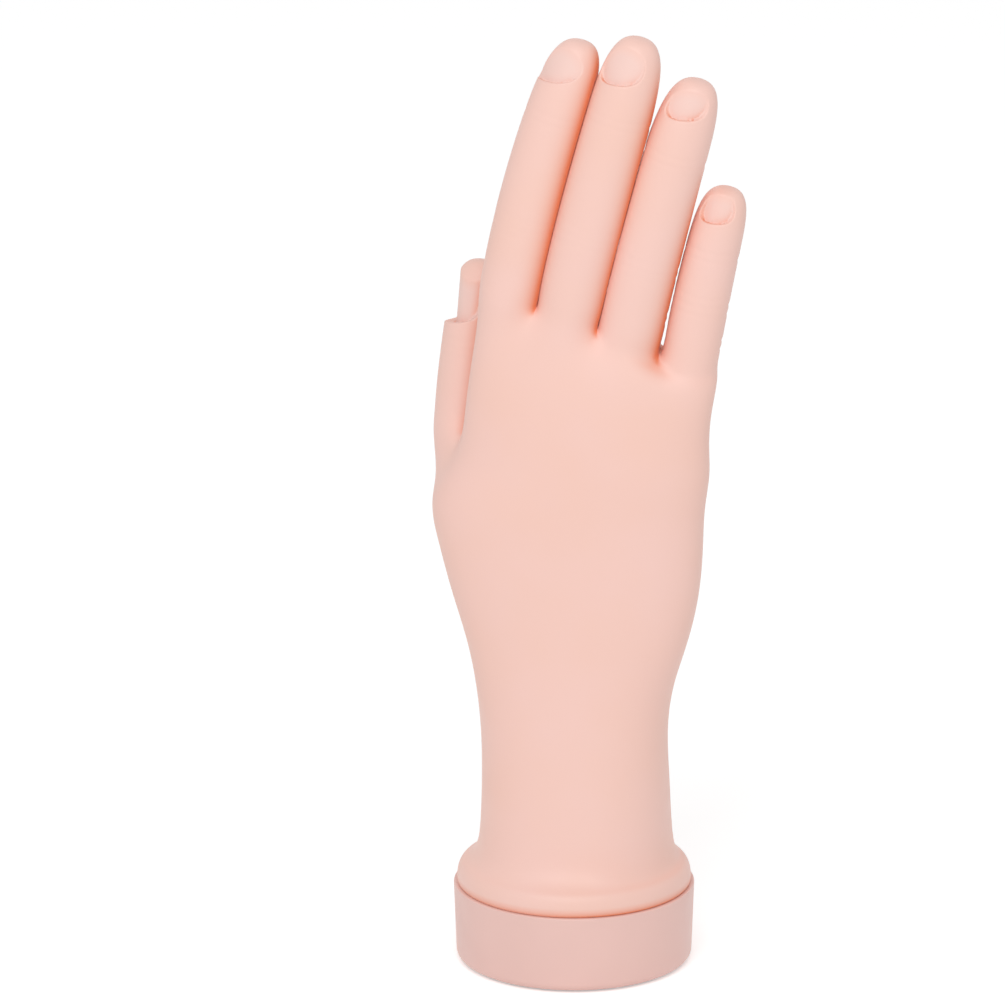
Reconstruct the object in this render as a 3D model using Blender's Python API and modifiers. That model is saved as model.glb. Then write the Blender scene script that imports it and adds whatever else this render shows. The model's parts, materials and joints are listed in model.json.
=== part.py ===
"""Nail practice hand: a soft PVC right hand on a jointed plastic skeleton, standing in a round base cup.

Metres, +Z up. The origin is the centre of the base's underside. The back of the hand faces -Y, the
palm +Y, the thumb is at -X and the little finger at +X.
"""

import math

import bmesh
import bpy
from mathutils import Matrix, Vector

# Clearances
TOUCH_GAP = 0.0003
HINGE_GAP = 0.0003
OVERRUN = 0.004

# Base cup and pad
CUP_RADIUS = 0.0310
CUP_HEIGHT = 0.0202
CUP_DRAFT = 0.0007
CUP_WALL = 0.0023
CUP_FLOOR = 0.0050
CUP_FOOT_ROUND = 0.0022
CUP_LIP_ROUND = 0.0004
PAD_MARGIN = 0.0019
PAD_THICKNESS = 0.0012
PAD_PROUD = 0.0004
PAD_ROUND = 0.0003

# Foot flange of the skin, which stands on the cup's lip and plugs into it
FLANGE_INSET = 0.0004
FLANGE_HEIGHT = 0.0061
FLANGE_ROUND = 0.0034
SPIGOT_DEPTH = 0.0078
SPIGOT_WALL = 0.0026

# Wrist post
POST_RADIUS = 0.0095
PLUG_RISE = 0.0210
POST_HEIGHT = 0.0580
POST_SHOULDER = 0.0040
TANG_WIDTH = 0.0100
TANG_THICKNESS = 0.0060
TANG_LENGTH = 0.0200
TANG_SCREW_PITCH = 0.0090

# Screws
BASE_SCREW_RADIUS = 0.0020
BASE_SCREW_LENGTH = 0.0110
BASE_HEAD_RADIUS = 0.0038
BASE_HEAD_HEIGHT = 0.0022
POST_SCREW_RADIUS = 0.0012
POST_SCREW_LENGTH = 0.0120
POST_HEAD_RADIUS = 0.0024
POST_HEAD_HEIGHT = 0.0014
POST_SEAT_DEPTH = 0.0035

# Wrist and palm: the palm is wider than the row of fingers by a margin at each side
PALM_MARGIN = 0.00325
PALM_DORSAL = 0.0146
PALM_PALMAR = 0.0178
PALM_HEIGHT = 0.1473
KNUCKLE_TILT = math.radians(-13.5)
WEB_GROOVE = 0.0014

# Fingers, measured along each from the web beside it. The row of them stands aside from the base's axis,
# and the index starts above the palm's top loop
INDEX_LENGTH = 0.0724
MIDDLE_LENGTH = 0.0764
RING_LENGTH = 0.0722
LITTLE_LENGTH = 0.0486
INDEX_WIDTH = 0.0163
MIDDLE_WIDTH = 0.0161
RING_WIDTH = 0.0158
LITTLE_WIDTH = 0.0135
INDEX_LEAN = math.radians(14.0)
MIDDLE_LEAN = math.radians(13.8)
RING_LEAN = math.radians(14.0)
LITTLE_LEAN = math.radians(11.2)
ROW_ASIDE = 0.0063
INDEX_RISE = 0.0032
MIDDLE_STEP = 0.0016
RING_STEP = -0.0031
LITTLE_STEP = -0.0030
LITTLE_ASIDE = 0.0015
INDEX_SINK = 0.0006
MIDDLE_SINK = -0.0004
RING_SINK = 0.0006
LITTLE_SINK = 0.0022
FINGER_GAP = 0.0003
FINGER_DEPTH_SHARE = 0.98
FINGER_CURL = 0.0034

# Thumb: its root lies inside the palm's side and front, just above the crotch
THUMB_LENGTH = 0.0486
THUMB_WIDTH = 0.0168
THUMB_DEPTH_SHARE = 0.92
THUMB_INSET = 0.0045
THUMB_SET_BACK = 0.0034
THUMB_RISE = 0.0012
THUMB_TURN = math.radians(22)
THUMB_LEAN = math.radians(1.6)
THUMB_TILT = math.radians(7)
THUMB_CURL = 0.0004
CROTCH_RISE = 0.0020

# Joints: how far each bends, and the least skin fold on its dorsal side
ROOT_BEND = math.radians(45)
MIDDLE_BEND = math.radians(60)
END_BEND = math.radians(40)
THUMB_ROOT_BEND = math.radians(35)
THUMB_END_BEND = math.radians(40)
FOLD_DORSAL = 0.0007
FOLD_TILT_SHARE = 0.26

# Skeleton
LINK_RADIUS = 0.0028
LINK_WIDTH = 0.0066
TONGUE_WIDTH = 0.0022
PIN_RADIUS = 0.0010
CORE_THICKNESS = 0.0070
STRUT_LENGTH = 0.0215
STRUT_OVERLAP = 0.0060
THUMB_STEM = 0.0080
THUMB_STRUT_RADIUS = 0.0030
TIP_LINK_SHARE = 0.86

# Nail beds and the slots under their folds
NAIL_LENGTH = 0.0118
NAIL_WIDTH_SHARE = 0.66
NAIL_BACK_SHARE = 0.45
NAIL_BED_SHARES = (0.56, 0.36)
SLOT_DEPTH = 0.0030
SLOT_THICKNESS = 0.0010
SLOT_INSET = 0.0003
SLOT_STEP = 0.0001
THUMB_NAIL_LENGTH = 0.0145

# Stations along a digit as shares of its length, with its width and its dorsal and palmar depths there
FINGER_SHARES = (
    (0.045, 0.99, 1.00, 1.02),
    (0.16, 1.00, 0.98, 0.99),
    (0.30, 1.00, 0.99, 0.96),
    (0.44, 1.00, 0.95, 0.95),
    (0.58, 0.99, 0.92, 0.94),
    (0.715, 0.97, 0.90, 0.93),
    (0.81, 0.94, 0.84, 0.92),
    (0.90, 0.86, 0.70, 0.85),
    (0.965, 0.65, 0.46, 0.64),
    (0.995, 0.32, 0.20, 0.30),
)
THUMB_SHARES = (
    (0.10, 1.04, 1.00, 1.00),
    (0.26, 1.02, 0.98, 0.98),
    (0.43, 1.00, 0.98, 0.96),
    (0.58, 0.97, 0.96, 0.97),
    (0.72, 0.92, 0.88, 0.98),
    (0.85, 0.80, 0.70, 0.90),
    (0.945, 0.58, 0.44, 0.66),
    (0.99, 0.28, 0.18, 0.30),
)
LONG_HINGE_SHARES = (0.095, 0.30, 0.715)
LITTLE_HINGE_SHARES = (0.135, 0.38, 0.65)
THUMB_HINGE_SHARES = (0.175, 0.49)

# Palm loops: height, centre, half width, dorsal depth, palmar depth, tilt and ball of the thumb, as shares
WRIST_SHARES = (
    (0.022, 0.014, 0.708, 1.60, 1.33, 0.00, 0.00),
    (0.075, 0.012, 0.702, 1.50, 1.22, 0.00, 0.00),
    (0.150, 0.010, 0.694, 1.36, 1.10, 0.00, 0.00),
    (0.235, 0.006, 0.694, 1.23, 1.02, 0.00, 0.00),
    (0.320, 0.004, 0.722, 1.12, 0.99, 0.00, 0.02),
    (0.400, 0.010, 0.800, 1.04, 0.99, 0.00, 0.06),
    (0.485, -0.010, 0.905, 1.00, 1.00, 0.00, 0.14),
    (0.570, -0.046, 0.980, 0.96, 1.00, 0.00, 0.24),
    (0.655, -0.080, 1.030, 0.94, 0.99, 0.04, 0.33),
)
CROTCH_SHARES = (0.725, 0.086, 0.918, 0.92, 0.82, 0.20, 0.00)
PALM_SHARES = (
    (0.795, 0.100, 0.903, 0.87, 0.75, 0.48, 0.00),
    (0.862, 0.138, 0.900, 0.79, 0.69, 0.70, 0.00),
    (0.928, 0.176, 0.905, 0.69, 0.61, 0.90, 0.00),
)
THENAR_ANGLE = math.radians(-138)

# Where the first points of the thumb's ring lie about its centre, in half widths: to the left and to the palm
THENAR_SHARES = ((0.96, -0.54), (0.76, 0.54), (-0.30, 1.05), (-1.39, 0.62))
THUMB_RING_START = math.radians(98)
PALM_ROUNDNESS = 0.90

# The palm core's plate, and where the thumb's bar starts on it, as shares across and up
PLATE_SHARES = (
    (-0.20, 0.0), (0.20, 0.0), (0.52, 0.26), (0.86, 0.52), (0.84, 0.72), (0.08, 0.93), (-0.62, 0.93),
    (-0.66, 0.48), (-0.36, 0.22),
)
THUMB_SEAT_SHARES = (-0.42, 0.42)

LOOP_COUNT = 20
RING_COUNT = 8
CURVE_STEPS = 4
ROUND_STEPS = 8
TURNED_STEPS = 30
WELD = 0.000002
FINGER_NAIL_BASIS = INDEX_WIDTH / 2
LINK_NAMES = {3: ("proximal", "middle", "tip"), 2: ("proximal", "tip")}
FOLD_NAMES = {3: ("root", "middle", "end"), 2: ("root", "end")}

ROW_WIDTH = INDEX_WIDTH + MIDDLE_WIDTH + RING_WIDTH + LITTLE_WIDTH + 3 * FINGER_GAP + LITTLE_ASIDE
PALM_HALF_WIDTH = ROW_WIDTH / 2 + PALM_MARGIN
FLANGE_RADIUS = CUP_RADIUS - FLANGE_INSET
PAD_RADIUS = CUP_RADIUS - CUP_DRAFT - CUP_FOOT_ROUND - PAD_MARGIN
PAD_UNDERSIDE = 0.0
CUP_UNDERSIDE = PAD_UNDERSIDE + PAD_PROUD
PAD_CEILING = PAD_UNDERSIDE + PAD_THICKNESS + TOUCH_GAP
SCREW_SEAT = PAD_CEILING + BASE_HEAD_HEIGHT + TOUCH_GAP
CUP_FLOOR_TOP = CUP_UNDERSIDE + CUP_FLOOR
CUP_LIP = CUP_UNDERSIDE + CUP_HEIGHT
CUP_BORE = CUP_RADIUS - CUP_WALL
FLANGE_UNDERSIDE = CUP_LIP + TOUCH_GAP
FLANGE_TOP = FLANGE_UNDERSIDE + FLANGE_HEIGHT
SPIGOT_RADIUS = CUP_BORE - TOUCH_GAP
SPIGOT_END = FLANGE_UNDERSIDE - SPIGOT_DEPTH
PLUG_RADIUS = SPIGOT_RADIUS - SPIGOT_WALL - TOUCH_GAP
PLUG_BOTTOM = CUP_FLOOR_TOP + TOUCH_GAP
PLUG_TOP = PLUG_BOTTOM + PLUG_RISE - TOUCH_GAP
POST_TOP = PLUG_TOP + POST_HEIGHT
INDEX_ROOT_X = INDEX_WIDTH / 2 - ROW_WIDTH / 2 + ROW_ASIDE
INDEX_ROOT_HEIGHT = FLANGE_TOP + PALM_HEIGHT + INDEX_RISE
THUMB_ROOT_X = THUMB_INSET - PALM_HALF_WIDTH
THUMB_ROOT_Y = PALM_PALMAR - THUMB_SET_BACK
THUMB_ROOT_HEIGHT = FLANGE_TOP + PALM_HEIGHT * CROTCH_SHARES[0] + THUMB_RISE


def ring_swell(count):
    """How much larger a closed ring of control points is than the smooth curve inside it."""
    return 6 / (4 + 2 * math.cos(2 * math.pi / count))


class Digit:
    """A finger or the thumb: its own frame, its outline along its length and its hinges."""

    def __init__(self, name, root, lean, turn, length, width, depth, curl, shares, hinge_shares, bends):
        self.name = name
        self.root = Vector(root)
        self.along = Vector((math.sin(lean), 0, math.cos(lean)))
        self.across = Vector((math.cos(lean), 0, -math.sin(lean)))
        turned = Matrix.Rotation(-turn, 3, self.along)
        self.across = turned @ self.across
        self.palmar = self.along.cross(self.across)
        self.length = length
        self.half_width = width / 2
        self.half_depth = depth / 2
        self.curl = curl
        self.shares = shares
        self.hinges = [length * share for share in hinge_shares]
        self.bends = bends

    def tilt(self, angle):
        """Leans the whole digit towards the palm about its own cross axis."""
        leaned = Matrix.Rotation(-angle, 3, self.across)
        self.along = leaned @ self.along
        self.palmar = leaned @ self.palmar

    def spine(self, distance):
        """The centre of the digit at a distance along it. It curls slightly towards the palm."""
        return self.root + self.along * distance + self.palmar * self.curl * (distance / self.length) ** 2

    def point(self, distance, across, palmar):
        return self.spine(distance) + self.across * across + self.palmar * palmar

    def hinge(self, order):
        return self.spine(self.hinges[order])

    def frame(self, origin):
        """A matrix with X along the digit, Y towards the palm and Z on the hinge axis."""
        axes = Matrix((self.along, self.palmar, -self.across)).transposed()
        return Matrix.Translation(origin) @ axes.to_4x4()


def make_fingers():
    """The four fingers side by side, each set beside the one before by their half widths and a gap."""
    sizes = (
        ("index", INDEX_LENGTH, INDEX_WIDTH, INDEX_LEAN, 0, INDEX_SINK, LONG_HINGE_SHARES),
        ("middle", MIDDLE_LENGTH, MIDDLE_WIDTH, MIDDLE_LEAN, MIDDLE_STEP, MIDDLE_SINK, LONG_HINGE_SHARES),
        ("ring", RING_LENGTH, RING_WIDTH, RING_LEAN, RING_STEP, RING_SINK, LONG_HINGE_SHARES),
        ("little", LITTLE_LENGTH, LITTLE_WIDTH, LITTLE_LEAN, LITTLE_STEP, LITTLE_SINK, LITTLE_HINGE_SHARES),
    )
    fingers = []
    bends = (ROOT_BEND, MIDDLE_BEND, END_BEND)
    for name, length, width, lean, step, sink, hinge_shares in sizes:
        root = Vector((INDEX_ROOT_X, 0, INDEX_ROOT_HEIGHT))
        if fingers:
            last = fingers[-1]
            beside = last.half_width + FINGER_GAP + width / 2
            if name == "little":
                beside += LITTLE_ASIDE
            root = last.root + last.across * beside + last.along * step
        root.y = sink
        depth = width * FINGER_DEPTH_SHARE
        fingers.append(
            Digit(name, root, lean, 0, length, width, depth, FINGER_CURL, FINGER_SHARES, hinge_shares, bends)
        )
    return fingers


def make_thumb():
    root = (THUMB_ROOT_X, THUMB_ROOT_Y, THUMB_ROOT_HEIGHT)
    depth = THUMB_WIDTH * THUMB_DEPTH_SHARE
    bends = (THUMB_ROOT_BEND, THUMB_END_BEND)
    thumb = Digit(
        "thumb", root, THUMB_LEAN, THUMB_TURN, THUMB_LENGTH, THUMB_WIDTH, depth, THUMB_CURL, THUMB_SHARES,
        THUMB_HINGE_SHARES, bends,
    )
    thumb.tilt(THUMB_TILT)
    return thumb


def signed_power(value, power):
    return math.copysign(abs(value) ** power, value)


def palm_loop(shares):
    """Twenty points round the palm: left side, nine along the back, right side, nine along the palm.
    The last share swells the ball of the thumb."""
    height, centre, width, dorsal, palmar, tilt, ball = shares
    half_width = PALM_HALF_WIDTH * width * ring_swell(LOOP_COUNT)
    middle_x = PALM_HALF_WIDTH * centre
    middle_z = FLANGE_TOP + PALM_HEIGHT * height
    points = []
    for order in range(LOOP_COUNT):
        angle = math.pi - order * 2 * math.pi / LOOP_COUNT
        aside = half_width * signed_power(math.cos(angle), PALM_ROUNDNESS)
        depth = PALM_DORSAL * dorsal if math.sin(angle) > 0 else PALM_PALMAR * palmar
        away = -depth * ring_swell(LOOP_COUNT) * signed_power(math.sin(angle), PALM_ROUNDNESS)
        away += PALM_PALMAR * ball * max(0, math.cos(angle - THENAR_ANGLE)) ** 2
        rise = aside * math.tan(KNUCKLE_TILT * tilt)
        points.append(Vector((middle_x + aside, away, middle_z + rise)))
    return points


def round_loop(radius, height):
    size = radius * ring_swell(LOOP_COUNT)
    points = []
    for order in range(LOOP_COUNT):
        angle = math.pi - order * 2 * math.pi / LOOP_COUNT
        points.append(Vector((size * math.cos(angle), -size * math.sin(angle), height)))
    return points


def digit_ring(digit, share, width, dorsal, palmar, start, step):
    """Eight control points round a digit at one station."""
    swell = ring_swell(RING_COUNT)
    points = []
    for order in range(RING_COUNT):
        angle = start + step * order
        aside = digit.half_width * width * swell * math.cos(angle)
        depth = dorsal if math.sin(angle) > 0 else palmar
        away = -digit.half_depth * depth * swell * math.sin(angle)
        points.append(digit.point(digit.length * share, aside, away))
    return points


class Cage:
    """The coarse control mesh of the hand. Each face carries the number of its digit, 0 for the palm."""

    def __init__(self):
        self.mesh = bmesh.new()
        self.digit = self.mesh.faces.layers.int.new("digit")
        self.crease = self.mesh.edges.layers.float.new("crease_edge")

    def loop(self, points):
        return [self.mesh.verts.new(point) for point in points]

    def bridge(self, lower, upper, digit=0):
        count = len(lower)
        for order in range(count):
            after = (order + 1) % count
            face = self.mesh.faces.new((lower[order], lower[after], upper[after], upper[order]))
            face[self.digit] = digit

    def cap(self, loop, digit=0):
        self.mesh.faces.new(loop)[self.digit] = digit

    def sharpen(self, loop):
        for order, vert in enumerate(loop):
            edge = self.mesh.edges.get((vert, loop[(order + 1) % len(loop)]))
            edge[self.crease] = 1

    def grow_digit(self, ring, digit, number, start, step):
        for share, width, dorsal, palmar in digit.shares:
            above = self.loop(digit_ring(digit, share, width, dorsal, palmar, start, step))
            self.bridge(ring, above, number)
            ring = above
        self.cap(ring, number)


def add_foot(cage):
    """The spigot, the flange and the neck. Sharp edges keep their corners."""
    foot = (
        (SPIGOT_RADIUS, SPIGOT_END, True),
        (SPIGOT_RADIUS, FLANGE_UNDERSIDE, True),
        (FLANGE_RADIUS, FLANGE_UNDERSIDE, True),
        (FLANGE_RADIUS, FLANGE_TOP - FLANGE_ROUND, False),
        (FLANGE_RADIUS - FLANGE_ROUND / 3, FLANGE_TOP - FLANGE_ROUND / 4, False),
        (FLANGE_RADIUS - FLANGE_ROUND, FLANGE_TOP, False),
    )
    below = None
    for radius, height, sharp in foot:
        loop = cage.loop(round_loop(radius, height))
        if below:
            cage.bridge(below, loop)
        else:
            cage.cap(loop)
        if sharp:
            cage.sharpen(loop)
        below = loop
    return below


def add_thumb_crotch(cage, below, thumb):
    """The loop where the thumb leaves the palm. It returns the palm's own loop, without the thumb."""
    points = palm_loop(CROTCH_SHARES)
    reach = thumb.half_width * ring_swell(RING_COUNT)
    back = [LOOP_COUNT - order for order in range(1, len(THENAR_SHARES) + 1)]
    inner = [points[order].copy() for order in back[:3]]
    for order, (aside, away) in zip(back, THENAR_SHARES):
        centre = thumb.root
        points[order] = Vector((centre.x - reach * aside, centre.y + reach * away, points[order].z))
    loop = cage.loop(points)
    cage.bridge(below, loop)
    crotch = []
    for point in inner:
        point.z += CROTCH_RISE
        crotch.append(cage.mesh.verts.new(point))
    ring = [loop[0]] + [loop[order] for order in back] + crotch[::-1]
    cage.grow_digit(ring, thumb, 5, THUMB_RING_START, 2 * math.pi / RING_COUNT)
    for order, vert in zip(back[:3], crotch):
        loop[order] = vert
    return loop


def web_points(left, right):
    """Dorsal, middle and palmar points of the web between two fingers."""
    centre = (left.root + right.root) / 2
    dorsal = centre - left.palmar * (left.half_depth - WEB_GROOVE)
    palmar = centre + left.palmar * (left.half_depth - WEB_GROOVE)
    return dorsal, centre, palmar


def add_knuckles(cage, below, fingers):
    """The top loop of the palm, with a web between each two fingers, and the fingers on it."""
    first, last = fingers[0], fingers[-1]
    swell = ring_swell(RING_COUNT)
    side = math.cos(math.pi / 4) * swell
    dorsal, palmar = [], []
    left = first.point(0, -first.half_width * swell, 0)
    right = last.point(0, last.half_width * swell, 0)
    dorsal.append(first.point(0, -first.half_width * side, -first.half_depth * side))
    palmar.append(first.point(0, -first.half_width * side, first.half_depth * side))
    webs = []
    for order, finger in enumerate(fingers):
        dorsal.append(finger.point(0, 0, -finger.half_depth * swell))
        palmar.append(finger.point(0, 0, finger.half_depth * swell))
        if finger is not last:
            top, centre, bottom = web_points(finger, fingers[order + 1])
            dorsal.append(top)
            palmar.append(bottom)
            webs.append(cage.mesh.verts.new(centre))
    dorsal.append(last.point(0, last.half_width * side, -last.half_depth * side))
    palmar.append(last.point(0, last.half_width * side, last.half_depth * side))
    loop = cage.loop([left] + dorsal + [right] + palmar[::-1])
    cage.bridge(below, loop)
    sides = [loop[0]] + webs + [loop[LOOP_COUNT // 2]]
    for order, finger in enumerate(fingers):
        start = 1 + 2 * order
        back = [loop[start], loop[start + 1], loop[start + 2]]
        front = [loop[LOOP_COUNT - start - 2], loop[LOOP_COUNT - start - 1], loop[LOOP_COUNT - start]]
        ring = [sides[order]] + back + [sides[order + 1]] + front
        cage.grow_digit(ring, finger, order + 1, math.pi, -2 * math.pi / RING_COUNT)


def build_form(fingers, thumb):
    """The outer shape of the whole hand as one closed mesh, from a coarse cage with Subdivision Surface."""
    cage = Cage()
    loop = add_foot(cage)
    for shares in WRIST_SHARES:
        above = cage.loop(palm_loop(shares))
        cage.bridge(loop, above)
        loop = above
    loop = add_thumb_crotch(cage, loop, thumb)
    for shares in PALM_SHARES:
        above = cage.loop(palm_loop(shares))
        cage.bridge(loop, above)
        loop = above
    add_knuckles(cage, loop, fingers)
    bmesh.ops.recalc_face_normals(cage.mesh, faces=cage.mesh.faces)
    mesh = bpy.data.meshes.new("hand_form")
    cage.mesh.to_mesh(mesh)
    cage.mesh.free()
    form = bpy.data.objects.new("hand_form", mesh)
    helpers.objects.link(form)
    smooth = form.modifiers.new("smooth", "SUBSURF")
    smooth.levels = smooth.render_levels = 1
    return form


def material(name, colour, roughness, metallic=0.0):
    made = bpy.data.materials.new(name)
    made.use_nodes = True
    made.diffuse_color = (*colour, 1)
    shader = made.node_tree.nodes["Principled BSDF"]
    shader.inputs["Base Color"].default_value = (*colour, 1)
    shader.inputs["Roughness"].default_value = roughness
    shader.inputs["Metallic"].default_value = metallic
    return made


def add_object(name, mesh, finish=None):
    """Links a mesh as a part, or as a cutter where it has no finish."""
    made = bpy.data.objects.new(name, mesh)
    if finish:
        mesh.materials.clear()
        mesh.materials.append(finish)
        parts.objects.link(made)
    else:
        helpers.objects.link(made)
        made.hide_render = True
        made.display_type = "WIRE"
    return made


def evaluated_mesh(source):
    bpy.context.view_layer.update()
    graph = bpy.context.evaluated_depsgraph_get()
    return bpy.data.meshes.new_from_object(source.evaluated_get(graph))


def prism(name, outline, thickness, frame, finish=None):
    """A flat outline made solid: a filled 2D curve, as thick as given, set in a frame."""
    curve = bpy.data.curves.new(name, "CURVE")
    curve.dimensions = "2D"
    curve.fill_mode = "BOTH"
    curve.extrude = thickness / 2
    spline = curve.splines.new("POLY")
    spline.points.add(len(outline) - 1)
    for point, (x, y) in zip(spline.points, outline):
        point.co = (x, y, 0, 1)
    spline.use_cyclic_u = True
    return curve_to_mesh(name, curve, frame, finish)


def curve_to_mesh(name, curve, frame, finish=None):
    source = bpy.data.objects.new(name, curve)
    helpers.objects.link(source)
    mesh = evaluated_mesh(source)
    bpy.data.objects.remove(source)
    shape = bmesh.new()
    shape.from_mesh(mesh)
    bmesh.ops.remove_doubles(shape, verts=shape.verts, dist=WELD)
    bmesh.ops.recalc_face_normals(shape, faces=shape.faces)
    shape.to_mesh(mesh)
    shape.free()
    made = add_object(name, mesh, finish)
    made.matrix_world = frame
    return made


def bar(name, start, end, radius):
    """A round bar between two points."""
    curve = bpy.data.curves.new(name, "CURVE")
    curve.dimensions = "3D"
    curve.bevel_depth = radius
    curve.bevel_resolution = 1
    curve.use_fill_caps = True
    spline = curve.splines.new("POLY")
    spline.points.add(1)
    for point, place in zip(spline.points, (start, end)):
        point.co = (*place, 1)
    return curve_to_mesh(name, curve, Matrix.Identity(4))


def disc(name, frame, radius, thickness, finish=None):
    """A disc centred on the frame's Z axis, turned half a facet so that no corner lies on X or Y."""
    shape = bmesh.new()
    half_facet = Matrix.Rotation(math.pi / ROUND_STEPS, 4, "Z")
    bmesh.ops.create_cone(
        shape, cap_ends=True, segments=ROUND_STEPS, radius1=radius, radius2=radius, depth=thickness,
        matrix=half_facet,
    )
    mesh = bpy.data.meshes.new(name)
    shape.to_mesh(mesh)
    shape.free()
    made = add_object(name, mesh, finish)
    made.matrix_world = frame
    return made


def turned(name, profile, finish=None, closed=False, steps=TURNED_STEPS):
    """A profile of (radius, height) points, top to bottom down its outer side, turned round Z."""
    mesh = bpy.data.meshes.new(name)
    points = [(radius, 0, height) for radius, height in profile]
    edges = [(order, order + 1) for order in range(len(points) - 1)]
    if closed:
        edges.append((len(points) - 1, 0))
    mesh.from_pydata(points, edges, [])
    made = add_object(name, mesh, finish)
    turn = made.modifiers.new("turn", "SCREW")
    turn.steps = turn.render_steps = steps
    turn.use_merge_vertices = True
    turn.merge_threshold = WELD
    turn.use_smooth_shade = False
    return made


def combine(target, other, operation):
    change = target.modifiers.new(other.name, "BOOLEAN")
    change.operation = operation
    change.solver = "EXACT"
    change.object = other


def cut(target, *cutters):
    for cutter in cutters:
        combine(target, cutter, "DIFFERENCE")


def join(target, *others):
    for other in others:
        combine(target, other, "UNION")


def stadium(reach, radius):
    """A side outline with round ends: from the first hinge at the origin to a second one along X."""
    outline = []
    for centre, first in ((reach, -math.pi / 2), (0, math.pi / 2)):
        for order in range(CURVE_STEPS + 1):
            angle = first + math.pi * order / CURVE_STEPS
            outline.append((centre + radius * math.cos(angle), radius * math.sin(angle)))
    return outline


def grown(outline, gap):
    """The outline with each edge moved outwards. The outline runs anticlockwise."""
    points = [Vector(point) for point in outline]
    moved = []
    for order, point in enumerate(points):
        before = (point - points[order - 1]).normalized()
        after = (points[(order + 1) % len(points)] - point).normalized()
        out_before = Vector((before.y, -before.x))
        out_after = Vector((after.y, -after.x))
        corner = (out_before + out_after) / (1 + out_before.dot(out_after))
        moved.append(tuple(point + corner * gap))
    return moved


def link_frame(digit, start, end):
    """X from one hinge towards the next, Y towards the palm, Z on the hinge axis."""
    forward = (end - start).normalized()
    axis = -digit.across
    palmar = axis.cross(forward).normalized()
    turn = Matrix((forward, palmar, axis)).transposed()
    return Matrix.Translation(start) @ turn.to_4x4()


def link_ends(digit, order):
    """The hinge that a link turns on, and the next one or the link's plain end in the fingertip."""
    start = digit.hinge(order)
    if order + 1 < len(digit.hinges):
        return start, digit.hinge(order + 1)
    return start, digit.spine(digit.length * TIP_LINK_SHARE)


def link_channel(digit, order):
    start, end = link_ends(digit, order)
    outline = stadium((end - start).length, LINK_RADIUS + TOUCH_GAP)
    width = LINK_WIDTH + 2 * TOUCH_GAP
    return prism(f"{digit.name}_channel_{order}", outline, width, link_frame(digit, start, end))


def hinge_frame(digit, order):
    return digit.frame(digit.hinge(order))


def hinge_room(digit, order):
    """The radius to clear round a hinge, whose links' edges reach furthest from it at the full bend."""
    reach = LINK_RADIUS / math.cos(digit.bends[order] / 2) + HINGE_GAP
    return reach / math.cos(math.pi / ROUND_STEPS)


def cut_tongue(piece, digit, order):
    """Thins the end at a hinge to a tongue: a cheek's space is cut from each side."""
    depth = (LINK_WIDTH - TONGUE_WIDTH) / 2
    for side in (-1, 1):
        offset = Matrix.Translation((0, 0, side * (TONGUE_WIDTH + depth + OVERRUN) / 2))
        frame = hinge_frame(digit, order) @ offset
        cut(piece, disc(f"{piece.name}_cheek", frame, hinge_room(digit, order), depth + OVERRUN))


def cut_fork(piece, digit, order):
    """Opens a slot for the tongue and a hole for the pin."""
    frame = hinge_frame(digit, order)
    slot = disc(f"{piece.name}_slot", frame, hinge_room(digit, order), TONGUE_WIDTH + 2 * HINGE_GAP)
    hole = disc(f"{piece.name}_hole", frame, PIN_RADIUS + HINGE_GAP, LINK_WIDTH + OVERRUN)
    cut(piece, slot, hole)


def make_link(digit, order):
    """One link of the skeleton: a tongue at its own hinge and, but for the last, a fork at the next."""
    name = f"{digit.name}_{LINK_NAMES[len(digit.hinges)][order]}_link"
    start, end = link_ends(digit, order)
    outline = stadium((end - start).length, LINK_RADIUS)
    link = prism(name, outline, LINK_WIDTH, link_frame(digit, start, end), hard_plastic)
    own = hinge_frame(digit, order)
    cut_tongue(link, digit, order)
    if order == 0:
        cut(link, disc(f"{name}_bore", own, PIN_RADIUS + HINGE_GAP, LINK_WIDTH))
    else:
        join(link, disc(f"{name}_snap_pin", own, PIN_RADIUS, LINK_WIDTH - 2 * TOUCH_GAP))
    if order + 1 < len(digit.hinges):
        cut_fork(link, digit, order + 1)
    return link


def make_root_pin(digit):
    return disc(f"{digit.name}_root_pin", hinge_frame(digit, 0), PIN_RADIUS, LINK_WIDTH, steel)


def fold_channel(digit, order):
    """The bore through a fold: straight along the skeleton, and long enough to clear both cut planes."""
    reach = FOLD_DORSAL + digit.half_depth
    ahead = digit.spine(digit.hinges[order] + reach)
    behind = digit.spine(digit.hinges[order] - reach)
    frame = link_frame(digit, behind, ahead)
    outline = stadium((ahead - behind).length, LINK_RADIUS + TOUCH_GAP)
    return prism(f"{digit.name}_fold_bore_{order}", outline, LINK_WIDTH + 2 * TOUCH_GAP, frame)


def fold_cut(digit, order, side, inset):
    """A plane across the digit at a hinge: it opens towards the palm, so that the skin clears itself
    when the hinge bends. Side is 1 beyond the hinge and -1 before it."""
    tilt = digit.bends[order] * FOLD_TILT_SHARE
    reach = FOLD_DORSAL + digit.half_depth * math.tan(tilt) - inset / math.cos(tilt)
    point = digit.hinge(order) + digit.along * reach * side
    normal = digit.along * math.cos(tilt) * side - digit.palmar * math.sin(tilt)
    return point, normal


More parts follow.
